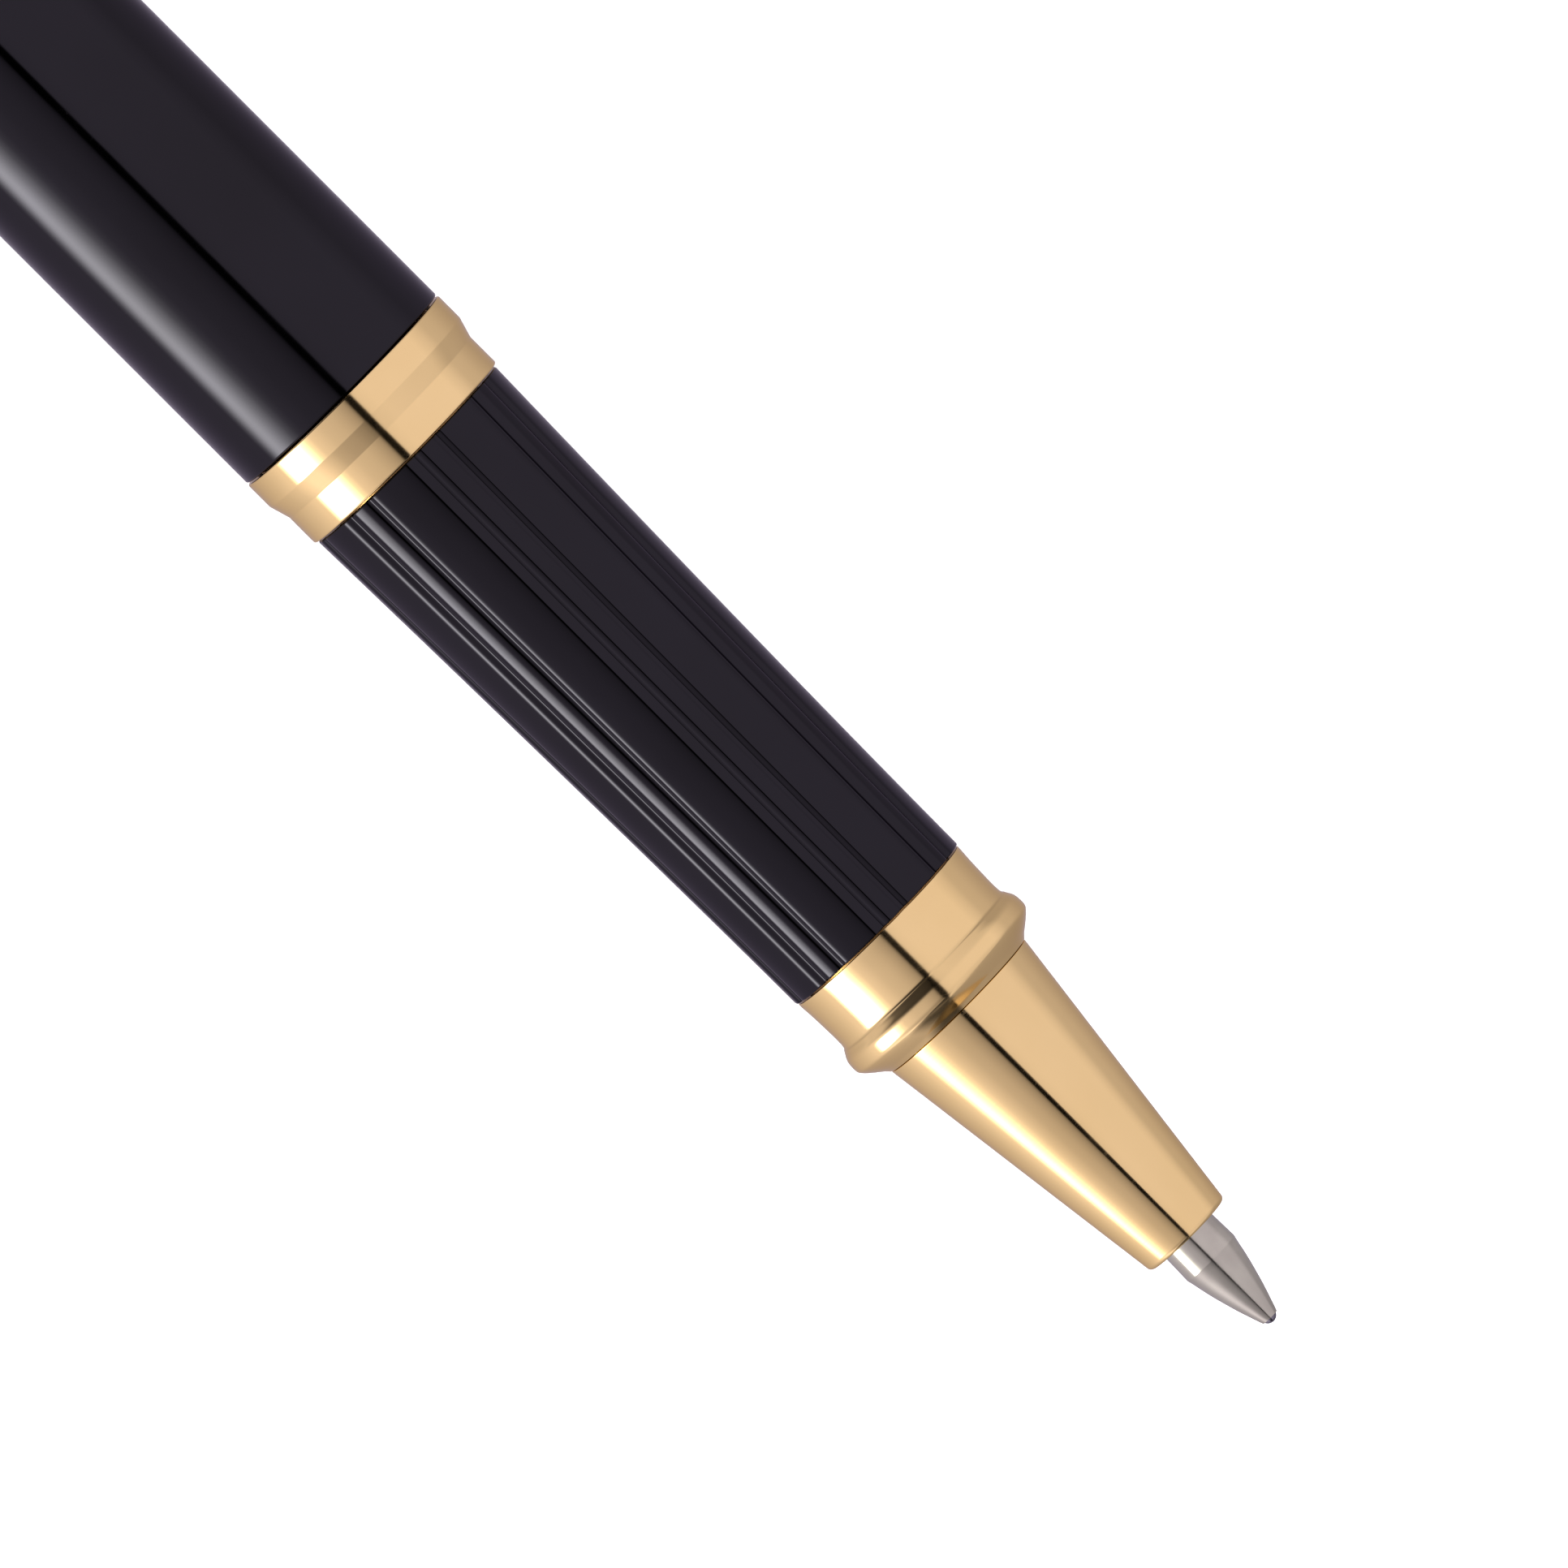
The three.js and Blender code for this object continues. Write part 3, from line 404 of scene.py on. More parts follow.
def turned(name, corners, material, sides=ROUND):
    """A piece turned on a lathe: its outline swept once round the pen's axis."""
    outline, closed = outline_of(corners)
    vertices, rings = [], []
    for point in outline:
        if point.y <= 0:
            rings.append([len(vertices)])
            vertices.append((point.x, 0.0, AXIS_Z))
            continue
        rings.append(list(range(len(vertices), len(vertices) + sides)))
        for i in range(sides):
            angle = 2 * math.pi * i / sides
            vertices.append((point.x, point.y * math.cos(angle), AXIS_Z + point.y * math.sin(angle)))
    pairs = list(zip(rings, rings[1:]))
    if closed:
        pairs.append((rings[-1], rings[0]))
    faces = []
    for ring, after in pairs:
        for i in range(sides):
            j = (i + 1) % sides
            face = [ring[i % len(ring)], ring[j % len(ring)], after[j % len(after)], after[i % len(after)]]
            faces.append([v for k, v in enumerate(face) if v not in face[:k]])
    return mesh_piece(name, vertices, faces, material)


def shade(mesh):
    """Smooth, but for real edges."""
    mesh.shade_smooth()
    mesh.set_sharp_from_angle(angle=SHARP)


def piece_of(name, mesh):
    piece = bpy.data.objects.new(name, mesh)
    bpy.context.scene.collection.objects.link(piece)
    return piece


def mesh_piece(name, vertices, faces, material):
    mesh = bpy.data.meshes.new(name)
    mesh.from_pydata(vertices, [], faces)
    mesh.validate()
    mesh.materials.append(material)
    shade(mesh)
    return piece_of(name, mesh)


def sleeve(rear, front, bore, radius, inner, outer):
    """The corners of a plain tube, its bore's edges and its rims rounded."""
    return [(rear, bore, inner), (rear, radius, outer), (front, radius, outer), (front, bore, inner)]


def rod(rear, front, radius, rear_edge, front_edge):
    return [(rear, 0, 0), (rear, radius, rear_edge), (front, radius, front_edge), (front, 0, 0)]


def place(piece, body, node=None):
    """The piece moves with a body and may stand for a node."""
    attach(piece, body)
    if node:
        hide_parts(node)


def lathe(node, body, material, corners, sides=ROUND):
    """A turned piece that stands for the node of its own name."""
    place(turned(node, corners, material, sides), body, node)


# ------------------------------------------------------ pieces made by a rule


ALONG_THE_PEN = (0.0, math.pi / 2, 0.0)  # turns what stands on Z to lie along X


def made_plain(piece):
    """The result of a piece's modifier as a plain mesh, with the modifier gone."""
    depsgraph = bpy.context.evaluated_depsgraph_get()
    mesh = bpy.data.meshes.new_from_object(piece.evaluated_get(depsgraph))
    piece.modifiers.clear()
    piece.data = mesh
    shade(mesh)
    return piece


def by_rule(piece, group, values):
    """Runs a geometry group on a piece with its named inputs set."""
    modifier = piece.modifiers.new(group.name, "NODES")
    modifier.node_group = group
    for item in group.interface.items_tree:
        if item.item_type == "SOCKET" and item.in_out == "INPUT" and item.name in values:
            modifier[item.identifier] = values[item.name]
    return made_plain(piece)


def empty_piece(name):
    return piece_of(name, bpy.data.meshes.new(name))


def lengths(*labels):
    """Plain number inputs, one for each label."""
    return [(label, FLOAT, 0.0) for label in labels]


def finish_geometry(tree, made, geometry, material):
    """Every geometry group ends with real meshes that carry the material."""
    real = tree.add("GeometryNodeRealizeInstances", {"Geometry": geometry})
    coated = tree.add("GeometryNodeSetMaterial", {"Geometry": real.outputs[0], "Material": material})
    tree.feed(made.inputs["Geometry"], coated.outputs[0])


def make_groove_group():
    """Pairs of grooves along a turned sleeve: a narrow cut with a soft shoulder on each side."""
    inputs = [
        ("Geometry", GEOMETRY, None),
        ("Pairs", INTEGER, 8),
        *lengths("Rib Angle", "Turn", "Axis Height", "Skin Radius"),
        *lengths("Cut Depth", "Cut Width", "Shoulder Depth", "Shoulder Width"),
        ("Material", MATERIAL, None),
    ]
    group, tree, given, made = new_group("paired grooves", GEOMETRY_TREE, inputs, [("Geometry", GEOMETRY)])
    size = given.outputs
    spot = tree.add("ShaderNodeSeparateXYZ", {"Vector": tree.add("GeometryNodeInputPosition").outputs[0]})
    side = spot.outputs["Y"]
    up = tree.math("SUBTRACT", spot.outputs["Z"], size["Axis Height"])
    spoke = tree.add("ShaderNodeCombineXYZ", {"Y": side, "Z": up}).outputs[0]
    radius = tree.math("SQRT", tree.math("MULTIPLY_ADD", side, side, tree.math("MULTIPLY", up, up)))
    angle = tree.math("SUBTRACT", tree.math("ARCTAN2", up, side), size["Turn"])
    half_period = tree.math("DIVIDE", math.pi, size["Pairs"])
    local = tree.math("WRAP", angle, half_period, tree.math("MULTIPLY", half_period, -1.0))
    half_rib = tree.math("DIVIDE", size["Rib Angle"], 2.0)
    off_line = tree.math("ABSOLUTE", tree.math("SUBTRACT", tree.math("ABSOLUTE", local), half_rib))
    distance = tree.math("MULTIPLY", off_line, radius)

    def dip(depth, width):
        share = tree.math("DIVIDE", distance, width)
        fall = tree.math("EXPONENT", tree.math("MULTIPLY", tree.math("MULTIPLY", share, share), -1.0))
        return tree.math("MULTIPLY", depth, fall)

    cut = tree.math(
        "ADD",
        dip(size["Cut Depth"], size["Cut Width"]),
        dip(size["Shoulder Depth"], size["Shoulder Width"]),
    )
    on_skin = tree.math("GREATER_THAN", radius, size["Skin Radius"])
    sink = tree.math("DIVIDE", tree.math("MULTIPLY", cut, on_skin), tree.math("MULTIPLY", radius, -1.0))
    offset = tree.add("ShaderNodeVectorMath", {0: spoke}, operation="SCALE")
    tree.feed(offset.inputs["Scale"], sink)
    moved = tree.add("GeometryNodeSetPosition", {"Geometry": size["Geometry"], "Offset": offset.outputs[0]})
    finish_geometry(tree, made, moved.outputs[0], size["Material"])
    return group


def make_coil_group():
    """A coil of round wire along the pen's axis."""
    inputs = [
        *lengths("Turns", "Length", "Radius", "Wire"),
        ("Start", VECTOR, None),
        ("Material", MATERIAL, None),
    ]
    group, tree, given, made = new_group("wire coil", GEOMETRY_TREE, inputs, [("Geometry", GEOMETRY)])
    size = given.outputs
    path = tree.add("GeometryNodeCurveSpiral", {"Resolution": 48, "Rotations": size["Turns"]})
    for socket, value in (("Start Radius", "Radius"), ("End Radius", "Radius"), ("Height", "Length")):
        tree.feed(path.inputs[socket], size[value])
    section = tree.add("GeometryNodeCurvePrimitiveCircle", {"Resolution": 16, "Radius": size["Wire"]})
    wire = tree.add("GeometryNodeCurveToMesh", {"Curve": path.outputs[0], "Fill Caps": True})
    tree.feed(wire.inputs["Profile Curve"], section.outputs[0])
    laid = tree.add("GeometryNodeTransform", {"Geometry": wire.outputs[0], "Rotation": ALONG_THE_PEN})
    tree.feed(laid.inputs["Translation"], size["Start"])
    finish_geometry(tree, made, laid.outputs[0], size["Material"])
    return group


def make_thread_group():
    """A right-hand screw ridge: a long bar bent round the axis, its ends fading into its foot."""
    inputs = [
        *lengths("Turns", "Pitch", "Rear", "Axis Height", "Foot Radius", "Crest Radius"),
        *lengths("Foot Half", "Crest Half", "Fade Turns"),
        ("Steps", INTEGER, 400),
        ("Material", MATERIAL, None),
    ]
    group, tree, given, made = new_group("screw ridge", GEOMETRY_TREE, inputs, [("Geometry", GEOMETRY)])
    size = given.outputs
    bar = tree.add("GeometryNodeMeshCube", {"Size": (1.0, 1.0, 1.0), "Vertices Y": 4, "Vertices Z": 4})
    tree.feed(bar.inputs["Vertices X"], size["Steps"])
    spot = tree.add("ShaderNodeSeparateXYZ", {"Vector": tree.add("GeometryNodeInputPosition").outputs[0]})
    along = tree.math("ADD", spot.outputs["X"], 0.5)
    height = tree.math("ADD", spot.outputs["Z"], 0.5)
    turn = tree.math("MULTIPLY", along, size["Turns"])
    to_end = tree.math("MINIMUM", turn, tree.math("SUBTRACT", size["Turns"], turn))
    full = tree.math("DIVIDE", to_end, size["Fade Turns"], clamp=True)
    rise = tree.math("MULTIPLY", tree.math("SUBTRACT", size["Crest Radius"], size["Foot Radius"]), height)
    radius = tree.math("MULTIPLY_ADD", rise, tree.math("MULTIPLY_ADD", full, 0.8, 0.2), size["Foot Radius"])
    narrowing = tree.math("SUBTRACT", size["Crest Half"], size["Foot Half"])
    half = tree.math("MULTIPLY_ADD", narrowing, height, size["Foot Half"])
    across = tree.math("MULTIPLY", tree.math("MULTIPLY", spot.outputs["Y"], 2.0), half)
    x = tree.math("ADD", tree.math("MULTIPLY_ADD", turn, size["Pitch"], size["Rear"]), across)
    angle = tree.math("MULTIPLY", turn, 2 * math.pi)
    y = tree.math("MULTIPLY", radius, tree.math("COSINE", angle))
    z = tree.math("MULTIPLY_ADD", radius, tree.math("SINE", angle), size["Axis Height"])
    bent = tree.add("ShaderNodeCombineXYZ", {"X": x, "Y": y, "Z": z})
    moved = tree.add("GeometryNodeSetPosition", {"Geometry": bar.outputs[0], "Position": bent.outputs[0]})
    finish_geometry(tree, made, moved.outputs[0], size["Material"])
    return group


def make_rib_group():
    """Straight ribs spaced evenly round the inside of a sleeve."""
    inputs = [
        ("Count", INTEGER, 6),
        *lengths("Radius"),
        ("Size", VECTOR, None),
        ("Middle", VECTOR, None),
        ("Material", MATERIAL, None),
    ]
    group, tree, given, made = new_group("inner ribs", GEOMETRY_TREE, inputs, [("Geometry", GEOMETRY)])
    size = given.outputs
    circle = tree.add("GeometryNodeMeshCircle", {"Vertices": size["Count"], "Radius": size["Radius"]})
    bar = tree.add("GeometryNodeMeshCube", {"Size": size["Size"]})
    index = tree.add("GeometryNodeInputIndex").outputs[0]
    angle = tree.math("DIVIDE", tree.math("MULTIPLY", index, 2 * math.pi), size["Count"])
    spin = tree.add("ShaderNodeCombineXYZ", {"Z": angle})
    ribs = tree.add("GeometryNodeInstanceOnPoints", {"Points": circle.outputs[0], "Instance": bar.outputs[0]})
    tree.feed(ribs.inputs["Rotation"], spin.outputs[0])
    laid = tree.add("GeometryNodeTransform", {"Geometry": ribs.outputs[0], "Rotation": ALONG_THE_PEN})
    tree.feed(laid.inputs["Translation"], size["Middle"])
    finish_geometry(tree, made, laid.outputs[0], size["Material"])
    return group


GROOVES = make_groove_group()
COIL = make_coil_group()
THREAD = make_thread_group()
RIBS = make_rib_group()

# ------------------------------------------------------------------- section

SEAM = 0.03 * MM  # half of the fine gap between two plated or lacquered pieces
JOINT = ends("joint_ring")[0] - SEAM  # where the barrel meets the section
RING_REAR_BAND = 1.22 * MM
RING_SLOPE = 0.86 * MM
RING_STEP = 0.25 * MM
CORE_BORE = 3.2 * MM
EDGE = 0.09  # millimetres, the rounding that catches light on a plated edge
SLEEVE_BORE = 3.89 * MM


def make_joint_ring():
    """Two bright bands with a hollow slope between them, where the cap's mouth stops."""
    rear, front = ends("joint_ring")
    high = rim("joint_ring")
    low = high - RING_STEP
    slope = rear + RING_REAR_BAND
    corners = [
        (rear, SLEEVE_BORE, 0.05),
        (rear, high, EDGE),
        (slope, high, 0.25),
        (slope + RING_SLOPE, low, 0.2),
        (front, low, EDGE),
        (front, SLEEVE_BORE, 0.05),
    ]
    lathe("joint_ring", "section", GOLD, corners)


GRIP_FLARE = 0.43 * MM
GRIP_CURVE = 1.45
GRIP_ROWS = 36
GROOVE_PAIRS = 8
GRIP_ROUND = GROOVE_PAIRS * 140
RIB_ANGLE = math.radians(14.4)
GRIP_TURN = math.radians(81.3)
GROOVE_DEPTH = 0.125 * MM
GROOVE_WIDTH = 0.21 * MM
SHOULDER_DEPTH = 0.02 * MM
SHOULDER_WIDTH = 0.30 * MM


def make_section_grip():
    """The lacquered sleeve, flaring a little to its rear, with pairs of fine grooves along it."""
    rear, front = ends("section_grip")
    wide = rim("section_grip", 1000)
    narrow = wide - GRIP_FLARE
    length = front - rear
    corners = [(rear, SLEEVE_BORE, 0.04), (rear, wide, 0.09)]
    for row in range(1, GRIP_ROWS):
        share = row / GRIP_ROWS
        corners.append((rear + share * length, narrow + GRIP_FLARE * (1 - share) ** GRIP_CURVE, 0))
    corners += [(front, narrow, 0.07), (front, SLEEVE_BORE, 0.04)]
    grip = turned("section_grip", corners, GRIP_LACQUER, GRIP_ROUND)
    values = {
        "Pairs": GROOVE_PAIRS,
        "Rib Angle": RIB_ANGLE,
        "Turn": GRIP_TURN,
        "Axis Height": AXIS_Z,
        "Skin Radius": SLEEVE_BORE + 0.2 * MM,
        "Cut Depth": GROOVE_DEPTH,
        "Cut Width": GROOVE_WIDTH,
        "Shoulder Depth": SHOULDER_DEPTH,
        "Shoulder Width": SHOULDER_WIDTH,
        "Material": GRIP_LACQUER,
    }
    place(by_rule(grip, GROOVES, values), "section", "section_grip")


CONE_BASE = 3.725 * MM
SPIGOT_SOCKET = 3.54 * MM


def make_nose_collar():
    """A shallow hollow, then a round bead and its steep front."""
    rear, front = ends("nose_collar")
    bead = rim("nose_collar")
    neck = bead - 0.335 * MM
    top = front - 1.12 * MM
    cove = curved(
        [
            (rear + 0.10 * MM, neck + 0.075 * MM),
            (rear + 1.1 * MM, neck + 0.02 * MM),
            (top - 1.02 * MM, neck + 0.005 * MM),
            (top - 0.74 * MM, neck + 0.12 * MM),
            (top - 0.46 * MM, bead - 0.06 * MM),
            (top - 0.22 * MM, bead),
            (top + 0.16 * MM, bead),
            (top + 0.36 * MM, bead - 0.12 * MM),
            (top + 0.62 * MM, bead - 0.40 * MM),
            (top + 0.92 * MM, CONE_BASE + 0.22 * MM),
        ],
        6,
    )
    corners = [
        (rear, SLEEVE_BORE, 0.04),
        (rear, neck + 0.075 * MM, EDGE * 0.8),
        *cove,
        (front, CONE_BASE + 0.02 * MM, 0.03),
        (front, SPIGOT_SOCKET, 0.03),
        (front - 0.4 * MM, SPIGOT_SOCKET, 0.03),
        (front - 0.4 * MM, SLEEVE_BORE, 0.03),
    ]
    lathe("nose_collar", "section", GOLD, corners)


CONE_SPIGOT = 3.3 * MM
CONE_RIM = 2.055 * MM
TIP_HOLE = 1.43 * MM


def make_nose_cone():
    rear, front = ends("nose_cone")
    base = rear + CONE_SPIGOT
    corners = [
        (rear, CORE_BORE, 0.05),
        (rear, 3.5 * MM, 0.1),
        (base, 3.5 * MM, 0.02),
        (base, CONE_BASE, 0.04),
        (front, CONE_RIM, 0.22),
        (front, TIP_HOLE, 0.05),
        (front - 1.0 * MM, TIP_HOLE, 0.04),
        (front - 1.0 * MM, 1.62 * MM, 0.04),
        (base, CORE_BORE, 0.5),
    ]
    lathe("nose_cone", "section", GOLD, corners)


PITCH = 0.8 * MM
THREAD_REAR = JOINT - 4.6 * MM
CORE = 3.85 * MM
FLANGE = 0.55 * MM


def make_section_core():
    """The brass tube inside the section, with its flange and screw thread."""
    rear, front = ends("section_core")
    flange = rim("section_core")
    corners = [
        (rear, CORE_BORE, 0.05),
        (rear, CORE - 0.3 * MM, 0.05),
        (rear + 0.3 * MM, CORE, 0.1),
        (JOINT - FLANGE, CORE, 0.08),
        (JOINT - FLANGE, flange, 0.06),
        (JOINT, flange, 0.06),
        (JOINT, CORE, 0.04),
        (front, CORE, 0.05),
        (front, SPIGOT_SOCKET, 0.04),
        (front - 2.9 * MM, SPIGOT_SOCKET, 0.04),
        (front - 2.9 * MM, CORE_BORE, 0.04),
    ]
    lathe("section_core", "section", BRASS, corners, ROUND_INNER)
    values = {
        "Turns": 3.75,
        "Pitch": PITCH,
        "Rear": THREAD_REAR,
        "Axis Height": AXIS_Z,
        "Foot Radius": CORE - 0.05 * MM,
        "Crest Radius": CORE + 0.4 * MM,
        "Foot Half": 0.3 * MM,
        "Crest Half": 0.08 * MM,
        "Fade Turns": 0.35,
        "Steps": 360,
        "Material": BRASS,
    }
    place(by_rule(empty_piece("section_thread"), THREAD, values), "section")


# -------------------------------------------------------------------- refill

BALL = 0.35 * MM
FEED_HOLE = 0.6 * MM
REFILL_WALL = 0.3 * MM


def make_refill_tip():
    """The turned steel tip: a straight shank, a long taper and the rolled rim that holds the ball."""
    rear, front = ends("refill_tip")
    shank = rim("refill_tip", REFILL_SIDES)
    shoulder = ends("nose_cone")[1] + 1.3 * MM
    length = front - shoulder
    ogive = curved(
        [
            (shoulder + 0.05 * length, shank * 0.968),
            (shoulder + 0.32 * length, shank * 0.82),
            (shoulder + 0.63 * length, shank * 0.605),
            (shoulder + 0.86 * length, shank * 0.415),
            (front - 0.12 * MM, 0.425 * MM),
        ],
        8,
    )
    corners = [
        (rear, FEED_HOLE, 0.05),
        (rear, shank, 0.08),
        (shoulder - 1.2 * MM, shank - 0.03 * MM, 0.2),
        (shoulder, shank, 0.05),
        *ogive,
        (front, 0.375 * MM, 0.03),
        (front, 0.335 * MM, 0.01),
        (front - 0.11 * MM, 0.37 * MM, 0.02),
        (front - 0.35 * MM, 0.37 * MM, 0.02),
        (front - 0.52 * MM, 0.2 * MM, 0.01),
        (shoulder + 1.5 * MM, 0.2 * MM, 0.01),
        (shoulder + 1.5 * MM, FEED_HOLE, 0.02),
    ]
    lathe("refill_tip", "refill", TIP_STEEL, corners)


def make_refill_ball():
    """The ball, as a half circle swept round the pen's axis."""
    rear, front = ends("refill_ball")
    middle = (rear + front) / 2
    steps = 24
    corners = [(middle - BALL, 0, 0)]
    for i in range(1, steps):
        angle = math.pi * i / steps
        corners.append((middle - BALL * math.cos(angle), BALL * math.sin(angle), 0))
    corners.append((middle + BALL, 0, 0))
    lathe("refill_ball", "ball", CARBIDE, corners, ROUND_SMALL)


def make_refill_nose():
    rear, front = ends("refill_nose")
    shoulder = rim("refill_nose", REFILL_SIDES)
    step = rear + 4.0 * MM
    corners = [
        (rear, FEED_HOLE, 0.05),
        (rear, 2.71 * MM, 0.2),
        (step, 2.71 * MM, 0.02),
        (step, shoulder, 0.1),
        (step + 0.42 * MM, shoulder, 0.3),
        (front, 1.57 * MM, 0.08),
        (front, 1.35 * MM, 0.03),
        (front - 6.4 * MM, 1.35 * MM, 0.03),
        (front - 6.4 * MM, FEED_HOLE, 0.03),
    ]
    lathe("refill_nose", "refill", PLASTIC, corners, ROUND_INNER)


def make_refill_body():
    """Tube, ink fibre, feed rod and end plug."""
    rear, front = ends("refill_tube")
    radius = rim("refill_tube", REFILL_SIDES)
    tube = sleeve(rear, front, radius - REFILL_WALL, radius, 0.04, 0.08)
    lathe("refill_tube", "refill", REFILL_PLASTIC, tube, ROUND_INNER)

    rear, front = ends("refill_ink_reservoir")
    radius = rim("refill_ink_reservoir", REFILL_SIDES)
    fibre = [
        (rear, 0, 0),
        (rear, radius, 0.2),
        (front, radius, 0.2),
        (front, FEED_HOLE, 0.05),
        (front - 5.1 * MM, FEED_HOLE, 0.05),
        (front - 5.1 * MM, 0, 0),
    ]
    lathe("refill_ink_reservoir", "refill", INK_FIBRE, fibre, ROUND_INNER)

    rear, front = ends("refill_feed_rod")
    radius = rim("refill_feed_rod", REFILL_SIDES)
    lathe("refill_feed_rod", "refill", INK_FIBRE, rod(rear, front, radius, 0.1, 0.1), ROUND_SMALL)

    rear, front = ends("refill_end_plug")
    radius = rim("refill_end_plug", REFILL_SIDES)
    plug = [
        (rear, 0.5 * MM, 0.08),
        (rear, radius, 0.3),
        (rear + 1.2 * MM, radius, 0.05),
        (rear + 1.3 * MM, radius - 0.15 * MM, 0.05),
        (rear + 1.7 * MM, radius - 0.15 * MM, 0.05),
        (rear + 1.8 * MM, radius, 0.05),
        (rear + 3.37 * MM, radius, 0.08),
        (rear + 3.37 * MM, radius - 0.34 * MM, 0.02),
        (front, radius - 0.34 * MM, 0.2),
        (front, 0.5 * MM, 0.08),
    ]
    lathe("refill_end_plug", "refill", PLASTIC, plug, ROUND_INNER)


# -------------------------------------------------------------------- barrel

BARREL_WALL = 0.5 * MM
BARREL_STRAIGHT = 22 * MM
SPRING_RADIUS = 2.3 * MM
SPRING_WIRE = 0.25 * MM


def barrel_tail_radius():
    return rim("tail_plug") + 0.06 * MM


def make_barrel_tube():
    rear, front = ends("barrel_tube")
    wide = rim("barrel_tube")
    tail = barrel_tail_radius()
    taper = front - BARREL_STRAIGHT
    corners = [
        (rear, tail - BARREL_WALL, 0.04),
        (rear, tail, 0.1),
        (taper, wide, 400),
        (front, wide, 0.1),
        (front, wide - BARREL_WALL, 0.06),
        (taper, wide - BARREL_WALL, 1),
    ]
    lathe("barrel_tube", "barrel", LACQUER, corners)


def make_thread_bush():
    """The brass bush in the barrel's mouth and the ridge of its thread."""
    rear, front = ends("barrel_thread_bush")
    radius = rim("barrel_thread_bush")
    minor = CORE + 0.1 * MM
    major = CORE + 0.5 * MM
    corners = [
        (rear, minor, 0.05),
        (rear, radius, 0.1),
        (front, radius, 0.08),
        (front, major, 0.05),
        (front - 5.5 * MM, major, 0.05),
        (front - 5.5 * MM, minor, 0.05),
    ]
    lathe("barrel_thread_bush", "barrel", BRASS, corners, ROUND_INNER)
    values = {
        "Turns": 6.0,
        "Pitch": PITCH,
        "Rear": THREAD_REAR - 1.5 * PITCH,
        "Axis Height": AXIS_Z,
        "Foot Radius": major + 0.05 * MM,
        "Crest Radius": minor,
        "Foot Half": 0.22 * MM,
        "Crest Half": 0.06 * MM,
        "Fade Turns": 0.2,
        "Steps": 500,
        "Material": BRASS,
    }
    ridge = by_rule(empty_piece("bush_thread"), THREAD, values)
    ridge.data.flip_normals()
    place(ridge, "barrel")


def make_spring():
    """The refill's spring, a coil between its seat and the refill."""
    rear, front = ends("refill_spring")
    values = {
        "Turns": 6.0,
        "Length": front - rear - 2 * SPRING_WIRE,
        "Radius": SPRING_RADIUS,
        "Wire": SPRING_WIRE,
        "Start": (rear + SPRING_WIRE, 0.0, AXIS_Z),
        "Material": WIRE,
    }
    spring = by_rule(empty_piece("refill_spring"), COIL, values)
    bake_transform(spring)
    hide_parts("refill_spring")


def make_spring_seat():
    rear, front = ends("spring_seat")
    radius = rim("spring_seat")
    step = rear + 2.5 * MM
    corners = [
        (rear, 0, 0),
        (rear, radius, 0.3),
        (step, radius, 0.2),
        (step, 1.6 * MM, 0.2),
        (front, 1.6 * MM, 0.4),
        (front, 0, 0),
    ]
    lathe("spring_seat", "barrel", PLASTIC, corners, ROUND_INNER)


def make_tail_plug():
    """The plated end of the barrel: a low dome with one turned line."""
    rear, front = ends("tail_plug")
    radius = rim("tail_plug")
    shoulder = ends("barrel_tube")[0] - SEAM
    dome = curved(
        [
            (rear + 0.02 * MM, 2.2 * MM),
            (rear + 0.07 * MM, 3.1 * MM),
            (rear + 0.22 * MM, 3.85 * MM),
            (rear + 0.50 * MM, radius - 0.08 * MM),
        ],
        6,
    )
    corners = [
        (rear, 0, 0),
        (rear, 1.9 * MM, 0.02),
        (rear + 0.12 * MM, 1.97 * MM, 0.03),
        (rear + 0.12 * MM, 2.13 * MM, 0.03),
        *dome,
        (rear + 0.66 * MM, radius, 0.1),
        (shoulder, radius, 0.05),
        (shoulder, radius - 0.48 * MM, 0.02),
        (front, radius - 0.48 * MM, 0.2),
        (front, 0, 0),
    ]
    lathe("tail_plug", "barrel", GOLD, corners)


# ----------------------------------------------------------------------- cap

CAP_BORE = 5.175 * MM
CAP_WALL = 0.45 * MM
STUD_HOLE = 1.54 * MM


def make_cap_tube():
    rear, front = ends("cap_tube")
    radius = rim("cap_tube")
    lathe("cap_tube", "cap", LACQUER, sleeve(rear, front, radius - CAP_WALL, radius, 0.05, 0.1))


def make_lip_ring():
    """The plated mouth of the cap, with a fine turned line and a rounded edge."""
    rear, front = ends("cap_lip_ring")
    radius = rim("cap_lip_ring")
    band = front - 3.2 * MM
    line = front - 2.35 * MM
    corners = [
        (rear, CAP_BORE, 0.05),
        (rear, 5.5 * MM, 0.05),
        (band, 5.5 * MM, 0.02),
        (band, radius, EDGE),
        (line - 0.14 * MM, radius, 0.05),
        (line, radius - 0.1 * MM, 0.04),
        (line + 0.14 * MM, radius, 0.05),
        (front, radius, 0.33),
        (front, CAP_BORE, 0.12),
    ]
    lathe("cap_lip_ring", "cap", GOLD, corners)


